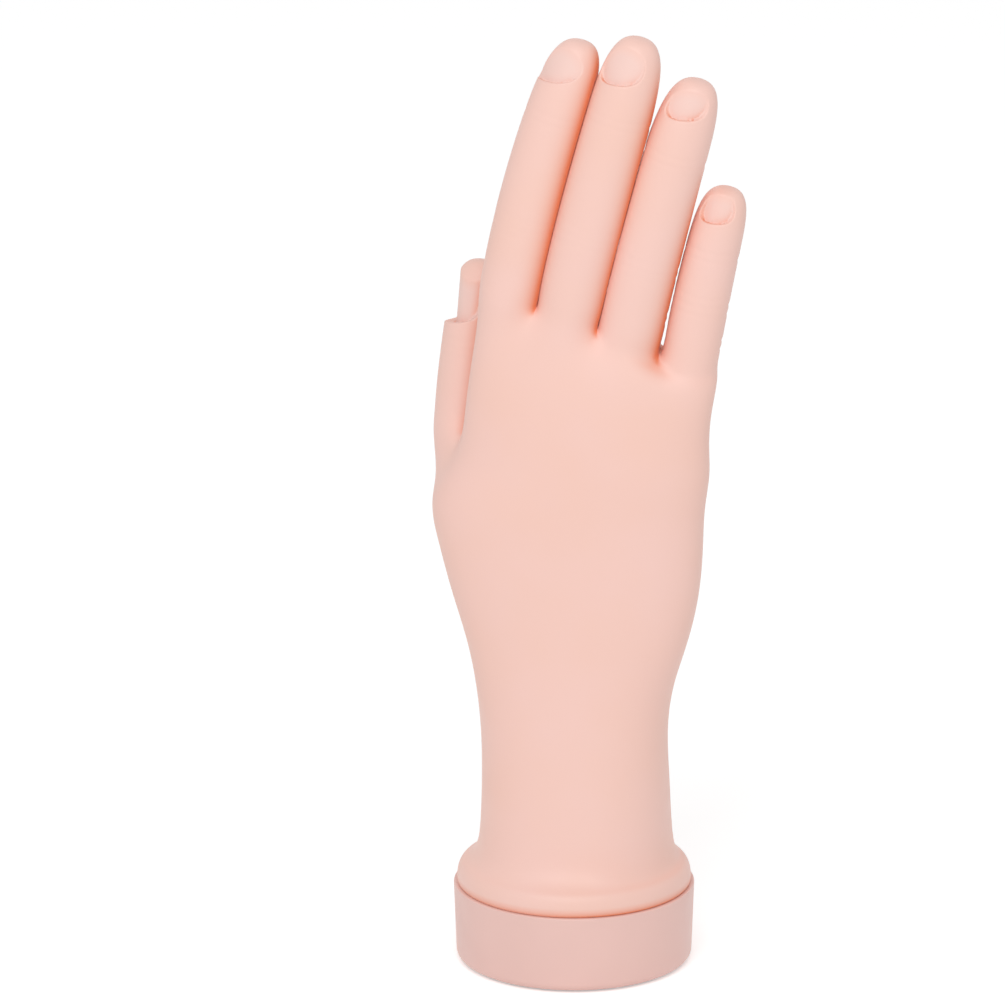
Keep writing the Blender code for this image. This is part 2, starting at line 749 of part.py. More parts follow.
def trim(shape, faces, point, normal, keep_outer):
    """Cuts the given faces along a plane, drops one side and closes the hole."""
    edges = {edge for face in faces for edge in face.edges}
    verts = {vert for face in faces for vert in face.verts}
    cut_edges = bmesh.ops.bisect_plane(
        shape,
        geom=list(verts) + list(edges) + list(faces),
        plane_co=point,
        plane_no=normal,
        dist=WELD,
        clear_outer=not keep_outer,
        clear_inner=keep_outer,
    )["geom_cut"]
    rim = [item for item in cut_edges if isinstance(item, bmesh.types.BMEdge)]
    bmesh.ops.holes_fill(shape, edges=rim, sides=0)


def skin_piece(name, form, number, planes, finish):
    """Part of one digit's skin between two planes. Each plane keeps the side its normal points to."""
    shape = bmesh.new()
    shape.from_mesh(form)
    digit_layer = shape.faces.layers.int["digit"]
    others = [face for face in shape.faces if face[digit_layer] != number]
    bmesh.ops.delete(shape, geom=others, context="FACES")
    for point, normal in planes:
        trim(shape, shape.faces[:], point, normal, True)
    bmesh.ops.recalc_face_normals(shape, faces=shape.faces)
    mesh = bpy.data.meshes.new(name)
    shape.to_mesh(mesh)
    shape.free()
    return add_object(name, mesh, finish)


def make_hand_skin(form, digits):
    """The back, palm, wrist and foot, with a stub for each digit up to its root fold."""
    shape = bmesh.new()
    shape.from_mesh(form)
    digit_layer = shape.faces.layers.int["digit"]
    for number, digit in enumerate(digits, 1):
        faces = [face for face in shape.faces if face[digit_layer] == number]
        point, normal = fold_cut(digit, 0, -1, 0)
        trim(shape, faces, point, normal, True)
    bmesh.ops.recalc_face_normals(shape, faces=shape.faces)
    mesh = bpy.data.meshes.new("hand_skin")
    shape.to_mesh(mesh)
    shape.free()
    return add_object("hand_skin", mesh, soft_skin)


def make_digit_skin(form, number, digit):
    """The folds and the rigid segments of one digit, each bored for the links that pass through it."""
    made = []
    names = LINK_NAMES[len(digit.hinges)]
    fold_names = FOLD_NAMES[len(digit.hinges)]
    for order in range(len(digit.hinges)):
        before = fold_cut(digit, order, -1, TOUCH_GAP)
        after = fold_cut(digit, order, 1, TOUCH_GAP)
        planes = [(before[0], -before[1]), (after[0], -after[1])]
        fold = skin_piece(f"{digit.name}_{fold_names[order]}_fold", form, number, planes, fold_skin)
        cut(fold, fold_channel(digit, order))
        planes = [fold_cut(digit, order, 1, 0)]
        if order + 1 < len(digit.hinges):
            planes.append(fold_cut(digit, order + 1, -1, 0))
        segment = skin_piece(f"{digit.name}_{names[order]}_skin", form, number, planes, soft_skin)
        cut(segment, link_channel(digit, order))
        made.append((fold, segment))
    cut_nail(made[-1][1], digit)
    return made


def nail_outline(half_width, back, length):
    """A nail bed seen from above: a rounded back end, and sides that run past the fingertip."""
    outline = []
    for order in range(2 * CURVE_STEPS + 1):
        angle = math.pi / 2 + math.pi * order / (2 * CURVE_STEPS)
        outline.append((back * math.cos(angle), half_width * math.sin(angle)))
    outline.append((length, -half_width))
    outline.append((length, half_width))
    return outline


def cut_nail(tip, digit):
    """Cuts the nail bed into the back of a fingertip, and the slot under the fold behind it."""
    long_nail = NAIL_LENGTH * digit.half_width / FINGER_NAIL_BASIS
    if digit.name == "thumb":
        long_nail = THUMB_NAIL_LENGTH
    cuticle = digit.length - long_nail
    back_height, tip_height = (digit.half_depth * share for share in NAIL_BED_SHARES)
    start = digit.point(cuticle, 0, -back_height)
    end = digit.point(digit.length, 0, -tip_height)
    forward = (end - start).normalized()
    upward = forward.cross(digit.across).normalized()
    upward = -upward if upward.dot(digit.palmar) > 0 else upward
    aside = upward.cross(forward)
    turn = Matrix((forward, aside, upward)).transposed().to_4x4()
    half_width = digit.half_width * NAIL_WIDTH_SHARE
    back = half_width * NAIL_BACK_SHARE
    height = digit.half_depth
    outline = nail_outline(half_width, back, long_nail + OVERRUN)
    frame = Matrix.Translation(start) @ turn @ Matrix.Translation((back, 0, height / 2))
    bed = prism(f"{digit.name}_nail_bed", outline, height, frame)
    middle = Matrix.Translation((back - SLOT_DEPTH, 0, SLOT_STEP + SLOT_THICKNESS / 2))
    outline = nail_outline(half_width - SLOT_INSET, back, long_nail + OVERRUN)
    slot = prism(f"{digit.name}_nail_slot", outline, SLOT_THICKNESS, Matrix.Translation(start) @ turn @ middle)
    cut(tip, bed, slot)


def palm_plate_outline():
    """The plate seen from the front, anticlockwise, as x and z from the top of the wrist post."""
    base = POST_TOP + TOUCH_GAP
    height = FLANGE_TOP + PALM_HEIGHT - base
    return [(PALM_HALF_WIDTH * x, base + height * z) for x, z in PLATE_SHARES]


def finger_strut(finger, gap):
    """The stem of a fork on the palm core, from inside the plate to the finger's root hinge."""
    end = finger.hinge(0)
    start = finger.point(-STRUT_LENGTH, 0, 0)
    start.y = end.y
    frame = link_frame(finger, start, end)
    outline = stadium((end - start).length, LINK_RADIUS + gap)
    return prism(f"{finger.name}_strut", outline, LINK_WIDTH + 2 * gap, frame)


def thumb_strut(thumb, gap):
    """The thumb's fork on a short stem, and the bar that carries it from the plate."""
    end = thumb.hinge(0)
    start = end - thumb.along * THUMB_STEM
    outline = stadium((end - start).length, LINK_RADIUS + gap)
    stem = prism("thumb_stem", outline, LINK_WIDTH + 2 * gap, link_frame(thumb, start, end))
    base = POST_TOP + TOUCH_GAP
    height = FLANGE_TOP + PALM_HEIGHT - base
    share_x, share_z = THUMB_SEAT_SHARES
    seat = Vector((PALM_HALF_WIDTH * share_x, 0, base + height * share_z))
    return stem, bar("thumb_bar", seat, start, THUMB_STRUT_RADIUS + gap)


def core_shapes(fingers, thumb, gap):
    """The solids that make up the palm core, or with a gap the space that it needs in the skin."""
    outline = palm_plate_outline()
    upright = Matrix.Rotation(math.pi / 2, 4, "X")
    plate = prism("core_plate", grown(outline, gap) if gap else outline, CORE_THICKNESS + 2 * gap, upright)
    struts = [finger_strut(finger, gap) for finger in fingers]
    return [plate, *struts, *thumb_strut(thumb, gap)]


def box(name, low, high):
    shape = bmesh.new()
    size = Vector(high) - Vector(low)
    middle = (Vector(high) + Vector(low)) / 2
    bmesh.ops.create_cube(shape, size=1, matrix=Matrix.Translation(middle) @ Matrix.Diagonal((*size, 1)))
    mesh = bpy.data.meshes.new(name)
    shape.to_mesh(mesh)
    shape.free()
    return add_object(name, mesh)


def post_screw_frame(height):
    """Z along a post screw, from the seat of its head at the back of the post towards the palm."""
    seat = Matrix.Translation((0, POST_SEAT_DEPTH - POST_RADIUS, height))
    return seat @ Matrix.Rotation(-math.pi / 2, 4, "X")


def tang_heights():
    top = POST_TOP - POST_SHOULDER
    return [top - TANG_SCREW_PITCH * order for order in range(2)]


def make_palm_core(fingers, thumb):
    plate, *rest = core_shapes(fingers, thumb, 0)
    core = add_object("palm_core", plate.data.copy(), hard_plastic)
    core.matrix_world = plate.matrix_world
    half = TANG_WIDTH / 2
    thick = TANG_THICKNESS / 2
    base = POST_TOP + TOUCH_GAP
    tang = box("core_tang", (-half, -thick, base - TANG_LENGTH), (half, thick, base + STRUT_OVERLAP))
    join(core, *rest, tang)
    for digit in (*fingers, thumb):
        cut_fork(core, digit, 0)
    for order, height in enumerate(tang_heights()):
        middle = Matrix.Translation((0, 0, POST_RADIUS - POST_SEAT_DEPTH))
        frame = post_screw_frame(height) @ middle
        cut(core, disc(f"tang_hole_{order}", frame, POST_SCREW_RADIUS + TOUCH_GAP, TANG_WIDTH))
    return core


def wrist_post_profile(gap):
    """The outside of the post and its plug, from the top down."""
    foot = SPIGOT_END - TOUCH_GAP
    return [
        (0, POST_TOP + gap),
        (POST_RADIUS + gap, POST_TOP + gap),
        (POST_RADIUS + gap, PLUG_TOP + gap),
        (PLUG_RADIUS + gap, PLUG_TOP + gap),
        (PLUG_RADIUS + gap, foot),
    ]


def make_wrist_post():
    foot = SPIGOT_END - TOUCH_GAP
    profile = wrist_post_profile(0) + [(SPIGOT_RADIUS, foot), (SPIGOT_RADIUS, PLUG_BOTTOM), (0, PLUG_BOTTOM)]
    post = turned("wrist_post", profile, hard_plastic)
    half = TANG_WIDTH / 2 + TOUCH_GAP
    thick = TANG_THICKNESS / 2 + TOUCH_GAP
    base = POST_TOP - TANG_LENGTH
    cut(post, box("tang_socket", (-half, -thick, base), (half, thick, POST_TOP + OVERRUN)))
    reach = BASE_SCREW_LENGTH + TOUCH_GAP
    drill = Matrix.Translation((0, 0, SCREW_SEAT + (reach - OVERRUN) / 2))
    cut(post, disc("post_bore", drill, BASE_SCREW_RADIUS + TOUCH_GAP, reach + OVERRUN))
    for order, height in enumerate(tang_heights()):
        reach = POST_SCREW_LENGTH + TOUCH_GAP
        shank = post_screw_frame(height) @ Matrix.Translation((0, 0, reach / 2))
        head = post_screw_frame(height) @ Matrix.Translation((0, 0, TOUCH_GAP - POST_SEAT_DEPTH))
        cut(post, disc(f"post_drill_{order}", shank, POST_SCREW_RADIUS + TOUCH_GAP, reach))
        cut(post, disc(f"post_counterbore_{order}", head, POST_HEAD_RADIUS + TOUCH_GAP, 2 * POST_SEAT_DEPTH))
    return post


def screw(name, frame, radius, length, head_radius, head_height):
    """A pan screw. Its head's seat is at the frame's origin and its shank runs up the frame's Z axis."""
    profile = [
        (0, length),
        (radius, length - radius),
        (radius, 0),
        (head_radius, 0),
        (head_radius, -head_height),
        (0, -head_height),
    ]
    made = turned(name, profile, steel, steps=ROUND_STEPS)
    made.matrix_world = frame
    return made


def make_post_screws():
    for order, height in enumerate(tang_heights()):
        frame = post_screw_frame(height)
        name = f"post_screw_{order + 1}"
        screw(name, frame, POST_SCREW_RADIUS, POST_SCREW_LENGTH, POST_HEAD_RADIUS, POST_HEAD_HEIGHT)


def make_base_cup():
    """The hard cup: a floor with a recess for the pad below and a counterbore for its screw."""
    low = CUP_RADIUS - CUP_DRAFT
    profile = [(CUP_BORE, CUP_LIP - CUP_LIP_ROUND), (CUP_BORE + CUP_LIP_ROUND, CUP_LIP)]
    profile += [(CUP_RADIUS - CUP_LIP_ROUND, CUP_LIP), (CUP_RADIUS, CUP_LIP - CUP_LIP_ROUND)]
    for order in range(CURVE_STEPS // 2 + 1):
        angle = math.pi / 2 * order / (CURVE_STEPS // 2)
        radius = low - CUP_FOOT_ROUND * (1 - math.cos(angle))
        height = CUP_UNDERSIDE + CUP_FOOT_ROUND * (1 - math.sin(angle))
        profile.append((radius, height))
    pad_space = PAD_RADIUS + TOUCH_GAP
    head_space = BASE_HEAD_RADIUS + TOUCH_GAP
    bore = BASE_SCREW_RADIUS + TOUCH_GAP
    profile += [(pad_space, CUP_UNDERSIDE), (pad_space, PAD_CEILING), (head_space, PAD_CEILING)]
    profile += [(head_space, SCREW_SEAT), (bore, SCREW_SEAT)]
    profile += [(bore, CUP_FLOOR_TOP), (CUP_BORE, CUP_FLOOR_TOP)]
    return turned("base_cup", profile, cup_plastic, closed=True)


def make_base_pad():
    profile = [
        (0, PAD_THICKNESS),
        (PAD_RADIUS, PAD_THICKNESS),
        (PAD_RADIUS, PAD_ROUND),
        (PAD_RADIUS - PAD_ROUND, PAD_UNDERSIDE),
        (0, PAD_UNDERSIDE),
    ]
    return turned("base_pad", profile, rubber)


def make_base_screw():
    """The screw that holds the cup to the wrist post, head down in the cup's counterbore."""
    frame = Matrix.Translation((0, 0, SCREW_SEAT - TOUCH_GAP))
    screw("base_screw", frame, BASE_SCREW_RADIUS, BASE_SCREW_LENGTH, BASE_HEAD_RADIUS, BASE_HEAD_HEIGHT)


def bore_hand(hand, fingers, thumb):
    """Takes the space of the palm core and the wrist post out of the hand's skin."""
    cut(hand, *core_shapes(fingers, thumb, TOUCH_GAP))
    profile = wrist_post_profile(TOUCH_GAP)
    profile += [(PLUG_RADIUS + TOUCH_GAP, SPIGOT_END - OVERRUN), (0, SPIGOT_END - OVERRUN)]
    cut(hand, turned("post_space", profile))


def add_axis(name, frame, parent=None):
    """An empty on a joint's axis, for what turns there."""
    axis = bpy.data.objects.new(name, None)
    parts.objects.link(axis)
    axis.matrix_world = frame
    if parent:
        hang(axis, parent)
    return axis


def hang(child, parent):
    bpy.context.view_layer.update()
    child.parent = parent
    child.matrix_parent_inverse = parent.matrix_world.inverted()


def assemble():
    fingers = make_fingers()
    thumb = make_thumb()
    digits = [*fingers, thumb]
    form = evaluated_mesh(build_form(fingers, thumb))
    hand = make_hand_skin(form, digits)
    bore_hand(hand, fingers, thumb)
    for number, digit in enumerate(digits, 1):
        skins = make_digit_skin(form, number, digit)
        parent = None
        for order, (fold, segment) in enumerate(skins):
            axis_name = f"{digit.name}_{FOLD_NAMES[len(digit.hinges)][order]}_axis"
            axis = add_axis(axis_name, hinge_frame(digit, order), parent)
            hang(segment, axis)
            hang(make_link(digit, order), axis)
            if parent:
                hang(fold, parent)
            parent = axis
        make_root_pin(digit)
    make_palm_core(fingers, thumb)
    make_wrist_post()
    make_post_screws()
    make_base_cup()
    make_base_pad()
    make_base_screw()


def clear_scene():
    for found in list(bpy.data.objects):
        bpy.data.objects.remove(found)


def add_collection(name, hidden):
    made = bpy.data.collections.new(name)
    bpy.context.scene.collection.children.link(made)
    made.hide_render = hidden
    return made


clear_scene()
parts = add_collection("nail_practice_hand", False)
helpers = add_collection("cutters", True)
soft_skin = material("soft_pvc_skin", (0.90, 0.62, 0.54), 0.5)
fold_skin = material("soft_pvc_fold", (0.86, 0.56, 0.47), 0.55)
hard_plastic = material("moulded_abs", (0.80, 0.76, 0.68), 0.45)
cup_plastic = material("base_abs", (0.76, 0.53, 0.49), 0.4)
rubber = material("pad_rubber", (0.05, 0.05, 0.05), 0.8)
steel = material("zinc_plated_steel", (0.60, 0.61, 0.62), 0.3, 1.0)
assemble()
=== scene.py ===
"""Nail practice hand: a soft PVC hand on a jointed skeleton, standing in a round base cup.

Metres, +Z up, in the frame of the packed part. The back of the hand faces -Y and the thumb is at -X.
Each digit's joints come from the frame. The skin is one smooth form that is split into closed pieces:
the hand, and for each joint a piece that bends across it.
"""

import json
import math

import bmesh
import bpy
import numpy as np
from bpy.props import FloatProperty, FloatVectorProperty, IntProperty, PointerProperty
from mathutils import Matrix, Vector
from mathutils.bvhtree import BVHTree


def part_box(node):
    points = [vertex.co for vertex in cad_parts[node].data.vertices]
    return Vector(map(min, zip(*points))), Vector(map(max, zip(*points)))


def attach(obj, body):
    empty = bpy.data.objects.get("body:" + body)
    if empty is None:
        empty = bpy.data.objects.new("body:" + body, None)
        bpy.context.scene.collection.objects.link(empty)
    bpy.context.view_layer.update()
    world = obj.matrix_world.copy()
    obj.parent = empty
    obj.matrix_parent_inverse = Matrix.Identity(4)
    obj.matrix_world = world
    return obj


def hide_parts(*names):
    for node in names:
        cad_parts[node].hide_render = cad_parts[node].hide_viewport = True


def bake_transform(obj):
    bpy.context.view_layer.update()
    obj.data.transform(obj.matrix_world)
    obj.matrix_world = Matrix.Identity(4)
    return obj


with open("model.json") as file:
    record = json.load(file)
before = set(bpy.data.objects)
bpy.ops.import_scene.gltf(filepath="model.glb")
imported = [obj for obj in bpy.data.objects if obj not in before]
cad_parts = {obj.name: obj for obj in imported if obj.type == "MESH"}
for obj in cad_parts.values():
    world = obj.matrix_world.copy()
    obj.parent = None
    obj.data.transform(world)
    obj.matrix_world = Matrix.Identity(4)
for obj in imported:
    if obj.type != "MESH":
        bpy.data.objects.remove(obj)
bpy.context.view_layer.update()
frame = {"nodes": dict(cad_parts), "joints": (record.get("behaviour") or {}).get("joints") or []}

bl_info = {
    "name": "Nail practice hand",
    "version": (1, 0, 0),
    "blender": (4, 5, 0),
    "location": "3D View > Sidebar > Practice hand",
    "description": "Builds the looks of a jointed nail practice hand round its packed frame",
    "category": "Add Mesh",
}

MM = 0.001
JOINTS = {joint["name"]: joint for joint in frame["joints"]}
DIGITS = ("index", "middle", "ring", "little", "thumb")
WELD = 0.000002
TOUCH_GAP = 0.3 * MM
SEAM_GAP = 0.1 * MM

# Stations along a digit as shares of its length, with its width and its dorsal and palmar depths there
FINGER_SHARES = (
    (0.045, 0.99, 0.97, 0.99),
    (0.16, 1.00, 0.95, 0.96),
    (0.30, 1.00, 0.96, 0.93),
    (0.44, 0.99, 0.92, 0.92),
    (0.58, 0.972, 0.90, 0.91),
    (0.715, 0.948, 0.88, 0.90),
    (0.81, 0.918, 0.84, 0.89),
    (0.90, 0.832, 0.74, 0.82),
    (0.965, 0.648, 0.52, 0.64),
    (1.00, 0.34, 0.25, 0.33),
)
THUMB_SHARES = (
    (0.10, 1.00, 1.00, 1.00),
    (0.26, 1.02, 0.98, 0.98),
    (0.43, 1.00, 0.98, 0.96),
    (0.58, 0.97, 0.96, 0.97),
    (0.72, 0.92, 0.88, 0.98),
    (0.83, 0.82, 0.74, 0.92),
    (0.915, 0.62, 0.48, 0.70),
    (0.96, 0.30, 0.20, 0.32),
)
LONG_HINGE_SHARES = (0.095, 0.30, 0.715)
LITTLE_HINGE_SHARES = (0.135, 0.38, 0.65)
THUMB_HINGE_SHARES = (0.175, 0.49)
FINGER_DEPTH_SHARE = 0.95
BOW_MIDDLE_SHARE = 0.45
BOW_STEEPNESS = 8
ASIDE_SHARE = 0.12
LEAN_SHARE = 0.6
THUMB_DEPTH_SHARE = 0.92

# Palm loops: height, centre, half width, dorsal depth, palmar depth, tilt and ball of the thumb, as shares
WRIST_SHARES = (
    (0.022, 0.014, 0.708, 1.60, 1.33, 0.00, 0.00),
    (0.075, 0.015, 0.692, 1.50, 1.22, 0.00, 0.00),
    (0.150, 0.013, 0.684, 1.36, 1.10, 0.00, 0.00),
    (0.235, 0.000, 0.676, 1.23, 1.02, 0.00, 0.00),
    (0.320, -0.002, 0.716, 1.12, 0.99, 0.00, 0.02),
    (0.400, 0.021, 0.811, 1.04, 0.99, 0.00, 0.06),
    (0.485, 0.001, 0.916, 1.00, 1.00, 0.00, 0.14),
    (0.570, -0.031, 0.979, 0.96, 1.00, 0.00, 0.24),
    (0.655, -0.078, 1.028, 0.94, 0.99, 0.04, 0.33),
)
CROTCH_SHARES = (0.725, 0.086, 0.918, 0.92, 0.82, 0.20, 0.00)
PALM_SHARES = (
    (0.795, 0.092, 0.895, 0.87, 0.75, 0.48, 0.00),
    (0.862, 0.120, 0.882, 0.79, 0.69, 0.70, 0.00),
    (0.928, 0.169, 0.880, 0.69, 0.61, 0.90, 0.00),
)
THENAR_ANGLE = math.radians(-138)
THENAR_SHARES = ((1.08, -0.54), (0.76, 0.54), (-0.30, 1.05), (-1.39, 0.62))
THUMB_RING_START = math.radians(98)
KNUCKLE_TILT = math.radians(-13.5)
PALM_ROUNDNESS = 0.90
LOOP_COUNT = 20
LOOP_ANGLES = [math.pi - order * 2 * math.pi / LOOP_COUNT for order in range(LOOP_COUNT)]
RING_COUNT = 8
WEB_COLUMNS = (3, 5, 7)
SHOULDER_IN_SHARE = 1 / 3
SHOULDER_DOWN_SHARE = 1 / 4


def length_property(name, description, millimetres):
    length = millimetres * MM
    return FloatProperty(name=name, description=description, default=length, unit="LENGTH", precision=4)


def angle_property(name, description, degrees):
    return FloatProperty(name=name, description=description, default=math.radians(degrees), unit="ROTATION")


class PracticeHandSizes(bpy.types.PropertyGroup):
    """Sizes of the hand and the cup. What is jointed keeps the place that the frame gives it."""

    palm_half_width: length_property("Palm half width", "Half of the palm's greatest width", 35.3)
    palm_dorsal: length_property("Back of the hand", "Depth from the hand's axis to its back", 14.6)
    palm_palmar: length_property("Palm", "Depth from the hand's axis to the palm", 17.8)
    palm_height: length_property("Palm height", "From the foot flange to the top of the palm", 147.3)
    web_groove: length_property("Web groove", "Depth of the groove at the webs", 3.6)
    web_slope: length_property("Web slope", "How far the back of a web lies below its middle", 2.6)
    web_rise: length_property("Web rise", "How far the webs lie above the roots of the fingers", 0.6)
    knuckle_valley: length_property("Knuckle valley", "Depth between two knuckles below the web", 1.3)
    row_shift: length_property("Row shift", "How far the row's outer sides lie beside the outer fingers", 0.8)
    crotch_rise: length_property("Crotch rise", "How far the thumb's inner skin starts above its outer", 2.0)
    cup_radius: length_property("Cup radius", "Outer radius of the base cup at its lip", 31.0)
    cup_wall: length_property("Cup wall", "Wall of the base cup", 2.3)
    flange_height: length_property("Flange height", "Height of the skin's foot flange", 6.3)
    flange_inset: length_property("Flange inset", "How much smaller the flange is than the cup", 0.85)
    flange_round: length_property("Flange round", "Rounding of the flange's upper edge", 3.2)
    flange_edge: length_property("Flange edge", "Rounding of the flange's lower edge", 0.3)
    slot_depth: length_property("Slot depth", "How far a false nail slides under the fold", 2.2)
    slot_thickness: length_property("Slot thickness", "Room for a false nail under the fold", 0.5)
    nail_tip_step: length_property("Tip step", "Step from the skin down to the bed at the fingertip", 0.25)
    cup_foot_round: length_property("Cup foot round", "Rounding of the cup's lower edge", 2.2)
    cup_lip_round: length_property("Cup lip round", "Rounding of the cup's lip", 0.35)
    cup_draft: length_property("Cup draft", "How much smaller the cup is at its foot", 0.7)
    cup_floor: length_property("Cup floor", "Thickness of the cup's floor", 5.0)
    detail: IntProperty(name="Detail", description="Subdivision of the skin", default=4, min=2, max=5)


# What each digit has of its own: for the index, middle, ring and little finger, and the thumb
DIGIT_LENGTHS = (
    ("length", "Length", "Length from the web or the crotch to the tip", (72.4, 76.4, 72.8, 49.3, 48.6)),
    ("width", "Width", "Width across the widest place", (16.9, 17.9, 17.3, 14.6, 16.8)),
    ("bow", "Bow", "How far the digit curves to the side", (0.85, 0.15, 0.3, 0.3, 0)),
    ("aside", "Shift", "How far the digit lies beside its hinges", (0.3, -0.45, -0.45, 0.2, -0.6)),
    ("lean", "Lean", "How far the end leans to the side", (0, 0, 0.5, 0, 0)),
    ("curl", "Curl", "How far the tip leans to the palm", (3.4, 3.4, 3.4, 3.4, 0.4)),
    ("nail_length", "Nail bed", "From the nail fold to the tip", (11.4, 11.9, 9.7, 8.5, 18.9)),
    ("fold_height", "Fold height", "Step down to the nail bed at the fold", (1.5, 1.5, 1.5, 1.5, 2.6)),
)
DIGIT_ANGLES = (
    ("nail_roll", "Nail turn", "Turn of the nail about the digit", (-43, -21, -2, -7.5, -45)),
    ("nail_slant", "Fold slant", "Slant of the fold across the digit", (15.5, 10, 8.5, 6, 10.5)),
    ("nail_span", "Nail width", "How far the nail bed reaches round the digit", (165, 124, 120, 113, 170)),
)


def digit_group(name):
    """A property group with the sizes that are one digit's own."""
    order = DIGITS.index(name)
    fields = {}
    for make, table in ((length_property, DIGIT_LENGTHS), (angle_property, DIGIT_ANGLES)):
        for field, label, description, values in table:
            fields[field] = make(label, description, values[order])
    contents = {"__doc__": f"Sizes of the {name}", "__annotations__": fields}
    return type(f"PracticeHand{name.capitalize()}", (bpy.types.PropertyGroup,), contents)


class Digit:
    """A finger or the thumb. Its place and its axes come from the packed hinges."""

    def __init__(self, name, depth_share, stations, hinge_shares):
        self.name = name
        self.sizes = getattr(bpy.context.scene, f"practice_hand_{name}")
        self.length, self.curl = self.sizes.length, self.sizes.curl
        self.half_width = self.sizes.width / 2
        self.half_depth = self.sizes.width * depth_share / 2
        self.stations = stations
        self.hinges = [self.length * share for share in hinge_shares]
        self.bends = ("root", "middle", "end") if len(hinge_shares) == 3 else ("root", "end")
        self.bodies = ["root"] + [JOINTS[f"{name}_{bend}_bend"]["child"] for bend in self.bends]
        self.angles = []
        for bend in self.bends:
            low, high = JOINTS[f"{name}_{bend}_bend"]["range_deg"]
            self.angles.append(math.radians(max(-low, high)))
        first, second = (Vector(JOINTS[f"{name}_{bend}_bend"]["pos_m"]) for bend in self.bends[:2])
        axis = Vector(JOINTS[f"{name}_root_bend"]["axis"])
        self.across = (axis if name == "thumb" else -axis).normalized()
        rise = self.curl * (self.hinges[1] ** 2 - self.hinges[0] ** 2) / self.length**2
        lean = math.atan2(rise, self.hinges[1] - self.hinges[0])
        forward = (second - first).normalized()
        palmar = forward.cross(self.across).normalized()
        self.along = forward * math.cos(lean) - palmar * math.sin(lean)
        self.palmar = forward * math.sin(lean) + palmar * math.cos(lean)
        self.root = first - self.along * self.hinges[0] - self.palmar * self.curl * hinge_shares[0] ** 2

    def spine(self, distance):
        """The centre of the digit at a distance along it. It curls slightly towards the palm, and bows."""
        share = distance / self.length
        shift = self.sizes.aside * min(1, share / ASIDE_SHARE)
        shift += self.sizes.bow * (BOW_STEEPNESS * (share - BOW_MIDDLE_SHARE) ** 2 - 1)
        shift += self.sizes.lean * (max(0, share - LEAN_SHARE) / (1 - LEAN_SHARE)) ** 2
        return self.root + self.along * distance + self.across * shift + self.palmar * self.curl * share**2

    def point(self, distance, across, palmar):
        return self.spine(distance) + self.across * across + self.palmar * palmar


def sizes():
    return bpy.context.scene.practice_hand_sizes


def make_digits():
    """The four fingers and the thumb."""
    digits = []
    for name in DIGITS[:-1]:
        hinge_shares = LITTLE_HINGE_SHARES if name == "little" else LONG_HINGE_SHARES
        digits.append(Digit(name, FINGER_DEPTH_SHARE, FINGER_SHARES, hinge_shares))
    return [*digits, Digit("thumb", THUMB_DEPTH_SHARE, THUMB_SHARES, THUMB_HINGE_SHARES)]


def ring_swell(count):
    """How much larger a closed ring of control points is than the smooth curve inside it."""
    return 6 / (4 + 2 * math.cos(2 * math.pi / count))


def signed_power(value, power):
    return math.copysign(abs(value) ** power, value)


def flange_levels():
    """Heights of the flange's underside and top, and its radius, from the base cup in the frame."""
    s = sizes()
    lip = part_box("base_cup")[1].z
    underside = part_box("hand_skin")[0].z
    seat = lip + SEAM_GAP
    return underside, seat, seat + s.flange_height, s.cup_radius - s.flange_inset


def palm_loop(shares):
    """Twenty points round the palm: left side, nine along the back, right side, nine along the palm.
    The last share swells the ball of the thumb."""
    s = sizes()
    height, centre, width, dorsal, palmar, tilt, ball = shares
    half_width = s.palm_half_width * width * ring_swell(LOOP_COUNT)
    middle_x = s.palm_half_width * centre
    middle_z = flange_levels()[2] + s.palm_height * height
    points = []
    for angle in LOOP_ANGLES:
        aside = half_width * signed_power(math.cos(angle), PALM_ROUNDNESS)
        depth = s.palm_dorsal * dorsal if math.sin(angle) > 0 else s.palm_palmar * palmar
        away = -depth * ring_swell(LOOP_COUNT) * signed_power(math.sin(angle), PALM_ROUNDNESS)
        away += s.palm_palmar * ball * max(0, math.cos(angle - THENAR_ANGLE)) ** 2
        rise = aside * math.tan(KNUCKLE_TILT * tilt)
        points.append(Vector((middle_x + aside, away, middle_z + rise)))
    return points


def round_loop(radius, height):
    size = radius * ring_swell(LOOP_COUNT)
    return [Vector((size * math.cos(angle), -size * math.sin(angle), height)) for angle in LOOP_ANGLES]


def digit_ring(digit, station, start, step):
    """Eight control points round a digit at one station."""
    share, width, dorsal, palmar = station
    swell = ring_swell(RING_COUNT)
    points = []
    for order in range(RING_COUNT):
        angle = start + step * order
        aside = digit.half_width * width * swell * math.cos(angle)
        depth = dorsal if math.sin(angle) > 0 else palmar
        away = -digit.half_depth * depth * swell * math.sin(angle)
        points.append(digit.point(digit.length * share, aside, away))
    return points


class Cage:
    """The coarse control mesh of the hand. Each face carries the number of its digit, 0 for the palm."""

    def __init__(self):
        self.mesh = bmesh.new()
        self.digit = self.mesh.faces.layers.int.new("digit")
        self.crease = self.mesh.edges.layers.float.new("crease_edge")

    def loop(self, points):
        return [self.mesh.verts.new(point) for point in points]

    def bridge(self, lower, upper, digit=0):
        count = len(lower)
        for order in range(count):
            after = (order + 1) % count
            face = self.mesh.faces.new((lower[order], lower[after], upper[after], upper[order]))
            face[self.digit] = digit

    def cap(self, loop, digit=0):
        self.mesh.faces.new(loop)[self.digit] = digit

    def sharpen(self, loop):
        for order, vert in enumerate(loop):
            edge = self.mesh.edges.get((vert, loop[(order + 1) % len(loop)]))
            edge[self.crease] = 1

    def grow_digit(self, ring, digit, number, start, step):
        for station in digit.stations:
            above = self.loop(digit_ring(digit, station, start, step))
            self.bridge(ring, above, number)
            ring = above
        self.cap(ring, number)


